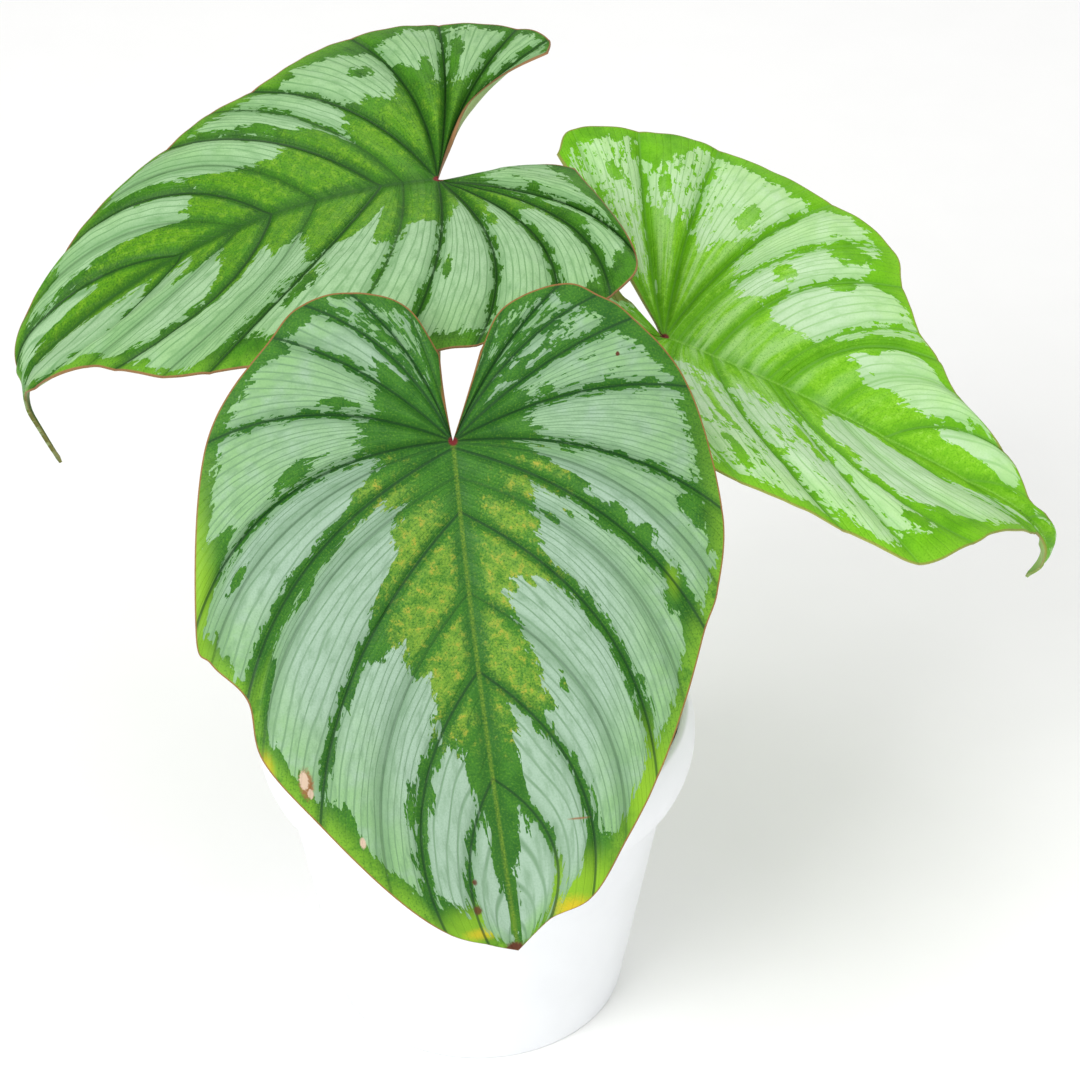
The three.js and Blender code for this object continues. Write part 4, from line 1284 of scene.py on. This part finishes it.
def stem_radius(share, angle):
    rounded_end = math.sqrt(np.clip(min(share, 1 - share) * STEM_END_SLOPE, STEM_END_LEAST, 1))
    rough = sum(lump(*each, share, angle) for each in STEM_LUMPS)
    plain = STEM_RADIUS * (STEM_OLD_END + (1 - STEM_OLD_END) * share)
    return (plain + SCAR_HEIGHT * scar_at(share) + rough) * rounded_end


def root_radius(share, angle):
    return ROOT_RADIUS * (1 - ROOT_TAPER * share) * (1 + lump(*ROOT_LUMP, share, angle))


def stem_material():
    graph = Graph("stem")
    place = graph.object_place()
    skin = graph.noise(place, (400, 900, 900), 4, 0.6)
    patches = graph.noise(place, (120, 160, 160), 3, 0.6)
    colour = graph.layers(
        tint("stem"),
        (graph.step(patches, 0.35, 0.65), tint("stem_patch")),
        (graph.times(graph.number("scar"), 0.8), tint("stem_scar")),
        (graph.times(graph.step(skin, 0.5, 0.8), 0.4), tint("stem_flake")),
    )
    graph.bump(skin, 0.5, 0.4)
    return graph.look(colour, graph.varied(0.5, skin, 0.3))


def make_stem():
    stem, faces, share, _ = tube(STEM_PATH, *STEM_MESH, stem_radius)
    parts, scars = [(stem, faces)], [scar_at(share)]
    for path in ROOT_PATHS:
        root, faces, _, _ = tube(path, *ROOT_MESH, root_radius)
        parts.append((root, faces))
        scars.append(np.zeros(len(root)))
    piece = mesh_object("creeping_stem", *joined(parts), scar=np.concatenate(scars))
    finish(piece, stem_material(), 50, "rhizome")


# Pot
def rounded(profile, radius):
    """The profile with each corner cut by small facets."""
    made = []
    for before, corner, after in zip(profile[:-2], profile[1:-1], profile[2:]):
        before, corner, after = (np.array(point, float) for point in (before, corner, after))
        to_before, to_after = before - corner, after - corner
        sides = np.linalg.norm(to_before), np.linalg.norm(to_after)
        cut = min(radius, *(side * CORNER_REACH for side in sides))
        enter, leave = corner + to_before / sides[0] * cut, corner + to_after / sides[1] * cut
        for share in CORNER_SHARES:
            made.append((1 - share) ** 2 * enter + 2 * share * (1 - share) * corner + share**2 * leave)
    return np.array([profile[0], *made, profile[-1]])


def pot_profile():
    """[radius, height] from the middle of the underside, up the outside and down to the floor."""
    band = [
        [BAND_RADIUS - BAND_SHOULDER * place**2, BAND_FOOT + BAND_HEIGHT * (place + 1) / 2]
        for place in np.linspace(-1, 1, BAND_POINTS)
    ]
    ledge = BAND_FOOT + POT_WALL
    outside = [[0, 0], [POT_BASE_RADIUS, 0], [WALL_TOP_RADIUS, BAND_FOOT], *band]
    inside = [
        [BAND_INSIDE, POT_HEIGHT],
        [BAND_INSIDE, ledge],
        [WALL_TOP_RADIUS - POT_WALL, ledge - POT_ROUNDING],
        [POT_BASE_RADIUS - POT_WALL, POT_FLOOR],
        [0, POT_FLOOR],
    ]
    return rounded(outside + inside, POT_ROUNDING)


def pot_material():
    graph = Graph("pot")
    place = graph.object_place()
    fine = graph.noise(place, (2500, 2500, 2500), 2)
    cloud = graph.noise(place, (60, 60, 60), 3)
    turned = graph.noise(place, (20, 20, 900), 2)
    colour = graph.mix(graph.step(cloud, 0.3, 0.7), tint("pot"), tint("pot_cloud"))
    graph.bump(graph.varied(fine, turned, 0.5), 0.15, 0.1)
    return graph.look(colour, graph.varied(0.34, turned, 0.16))


def drain_drill():
    """Upright cylinders where the drain holes are."""
    tool = bmesh.new()
    for angle in around(DRAIN_COUNT) + DRAIN_TURN:
        size = {"radius1": DRAIN_RADIUS * MM, "radius2": DRAIN_RADIUS * MM, "depth": 4 * POT_FLOOR * MM}
        made = bmesh.ops.create_cone(tool, cap_ends=True, segments=DRAIN_SIDES, **size)
        shift = Vector((DRAIN_CIRCLE * math.cos(angle) * MM, DRAIN_CIRCLE * math.sin(angle) * MM, 0))
        bmesh.ops.translate(tool, verts=made["verts"], vec=shift)
    mesh = bpy.data.meshes.new("drill")
    tool.to_mesh(mesh)
    tool.free()
    return put("drill", mesh)


def drill(piece):
    """Cuts the drain holes through the floor, and clears away the tiny edges that the cut leaves."""
    cutter = drain_drill()
    cut = piece.modifiers.new("drain", "BOOLEAN")
    cut.object = cutter
    cut.solver = "EXACT"
    bpy.context.view_layer.objects.active = piece
    bpy.ops.object.modifier_apply(modifier=cut.name)
    bpy.data.objects.remove(cutter)
    clean = bmesh.new()
    clean.from_mesh(piece.data)
    bmesh.ops.remove_doubles(clean, verts=clean.verts, dist=WELD * MM)
    bmesh.ops.dissolve_degenerate(clean, edges=clean.edges, dist=WELD * MM)
    clean.to_mesh(piece.data)
    clean.free()


def make_pot():
    profile = pot_profile()
    rings = [level_ring(radius, height, POT_SIDES) for radius, height in profile[1:-1]]
    points, faces = capped_rings(rings, [0, *profile[0]], [0, *profile[-1]])
    piece = mesh_object("nursery_pot", points, faces)
    drill(piece)
    finish(piece, pot_material(), 35, "pot")


# Potting mix
def seeded_values(seed):
    state = seed
    while True:
        state = (state * 1664525 + 1013904223) % 2**32
        yield state / 2**32


def mix_lumps():
    """The lumps of the mix, each (x, y, size, height)."""
    values = seeded_values(SOIL_SEED)
    lumps = []
    for _ in range(LUMP_COUNT):
        reach, angle = MIX_RADIUS * math.sqrt(next(values)), 2 * math.pi * next(values)
        size, high = (low + (top - low) * next(values) for low, top in (LUMP_SIZE, LUMP_HEIGHT))
        lumps.append((reach * math.cos(angle), reach * math.sin(angle), size, high))
    return lumps


def mix_height(lumps, x, y):
    height = SOIL_LEVEL + MOUND * bell(np.hypot(x / MOUND_REACH[0], y / MOUND_REACH[1]), 1)
    for lump_x, lump_y, size, high in lumps:
        height = height + high * bell(np.hypot(x - lump_x, y - lump_y), size)
    return height


def mix_block(lumps):
    """The mix without its chips: its rings run from the middle of the top outwards, down and in."""
    rings = []
    for k in range(1, MIX_RINGS + 1):
        ring = level_ring(MIX_RADIUS * k / MIX_RINGS, 0, MIX_SECTORS)
        x, y = ring[:, 0], ring[:, 1]
        ring[:, 2] = mix_height(lumps, x, y) + RIPPLE * waves(x, y, RIPPLE_SIZE, SOIL_SEED)
        rings.append(ring)
    ledge, foot = BAND_FOOT + POT_WALL + GAP, POT_FLOOR + GAP
    for radius, height in (
        (MIX_RADIUS, ledge),
        (WALL_TOP_RADIUS - POT_WALL - GAP, ledge - POT_WALL / 4),
        (POT_BASE_RADIUS - POT_WALL - GAP - MIX_FOOT_CLEAR, foot),
    ):
        rings.append(level_ring(radius, height, MIX_SECTORS))
    points, faces = capped_rings(rings, [0, 0, mix_height(lumps, 0, 0)], [0, 0, foot])
    return points, turned_over(faces)


def plain_chip():
    """A ball of twenty faces."""
    made = bmesh.new()
    bmesh.ops.create_icosphere(made, subdivisions=1, radius=1)
    points = np.array([vertex.co for vertex in made.verts])
    faces = [[vertex.index for vertex in face.verts] for face in made.faces]
    made.free()
    return points, faces


def rough_chip(rng, points, centre, size, flatness):
    """The ball made into a rough flat lump, laid at a random turn."""
    shape = points * rng.uniform(*CHIP_ROUGHNESS, (len(points), 1))
    shape *= size * np.array([1, rng.uniform(*CHIP_SLIMNESS), flatness])
    turn, tilt = rng.uniform(0, 2 * math.pi), rng.uniform(-CHIP_TILT, CHIP_TILT)
    spin = np.array([[math.cos(turn), -math.sin(turn), 0], [math.sin(turn), math.cos(turn), 0], [0, 0, 1]])
    lean = np.array([[1, 0, 0], [0, math.cos(tilt), -math.sin(tilt)], [0, math.sin(tilt), math.cos(tilt)]])
    return shape @ lean.T @ spin.T + centre


def mix_material():
    graph = Graph("soil")
    grit = graph.noise(graph.object_place(), (900, 900, 900), 4, 0.7)
    kind = graph.number("kind")
    colour = graph.layers(
        tint("mix"),
        (graph.step(grit, 0.3, 0.7), tint("mix_grit")),
        (graph.step(kind, 0.05, 0.6), tint("bark")),
        (graph.step(kind, 0.93, 0.97), tint("perlite")),
    )
    graph.bump(grit, 0.8, 0.6)
    return graph.look(colour, graph.varied(0.7, grit, 0.25))


def make_mix():
    lumps = mix_lumps()
    block = mix_block(lumps)
    ball, ball_faces = plain_chip()
    parts, kinds = [block], [np.zeros(len(block[0]))]
    rng = np.random.default_rng(CHIP_SEED)
    for _ in range(CHIP_COUNT):
        reach, angle = (MIX_RADIUS - CHIP_FROM_WALL) * math.sqrt(rng.uniform()), rng.uniform(0, 2 * math.pi)
        x, y = reach * math.cos(angle), reach * math.sin(angle)
        kind = rng.uniform()
        pale = kind > PALE_FROM
        size = rng.uniform(*(PALE_SIZE if pale else BARK_SIZE))
        flatness = PALE_FLATNESS if pale else rng.uniform(*BARK_FLATNESS)
        centre = np.array([x, y, mix_height(lumps, x, y)])
        parts.append((rough_chip(rng, ball, centre, size, flatness), ball_faces))
        kinds.append(np.full(len(ball), kind))
    piece = mesh_object("potting_mix", *joined(parts), kind=np.concatenate(kinds))
    finish(piece, mix_material(), 35, "soil")


# Stage
def make_floor():
    corners = [(-FLOOR_HALF, -FLOOR_HALF, 0), (FLOOR_HALF, -FLOOR_HALF, 0)]
    corners += [(FLOOR_HALF, FLOOR_HALF, 0), (-FLOOR_HALF, FLOOR_HALF, 0)]
    mesh = bpy.data.meshes.new("floor")
    mesh.from_pydata(corners, [], [[0, 1, 2, 3]])
    floor = put("floor", mesh)
    graph = Graph("floor")
    grain = graph.noise(graph.object_place(), (40, 40, 40), 2)
    floor.data.materials.append(graph.look(graph.mix(grain, tint("floor"), tint("floor_grain")), 0.7))
    floor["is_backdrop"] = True


def make_light():
    world = bpy.data.worlds.new("studio")
    world.use_nodes = True
    background = world.node_tree.nodes["Background"].inputs
    background["Color"].default_value = (1, 1, 1, 1)
    background["Strength"].default_value = WORLD_STRENGTH
    bpy.context.scene.world = world
    for name, (place, width, power) in LAMPS.items():
        data = bpy.data.lights.new(name, "AREA")
        data.energy = power
        data.size = width
        lamp = put(name, data)
        lamp.location = place
        lamp.rotation_euler = (Vector(LAMP_TARGET) - Vector(place)).to_track_quat("-Z", "Y").to_euler()


def make_camera():
    data = bpy.data.cameras.new("camera")
    data.lens = CAMERA_LENS
    data.sensor_width = SENSOR
    camera = put("camera", data)
    camera.location = CAMERA_PLACE
    camera.rotation_euler = (math.radians(90 - CAMERA_DROP), 0, 0)
    bpy.context.scene.camera = camera


make_camera()
make_light()
make_floor()
bpy.context.scene.view_settings.view_transform = "Standard"

make_pot()
make_mix()
make_stem()
stalk_finish = stalk_material()
for leaf in LEAVES:
    make_stalk(leaf, stalk_finish)
    make_blade(leaf)

[[list(corner) for corner in box] for box in (cad_box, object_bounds())]
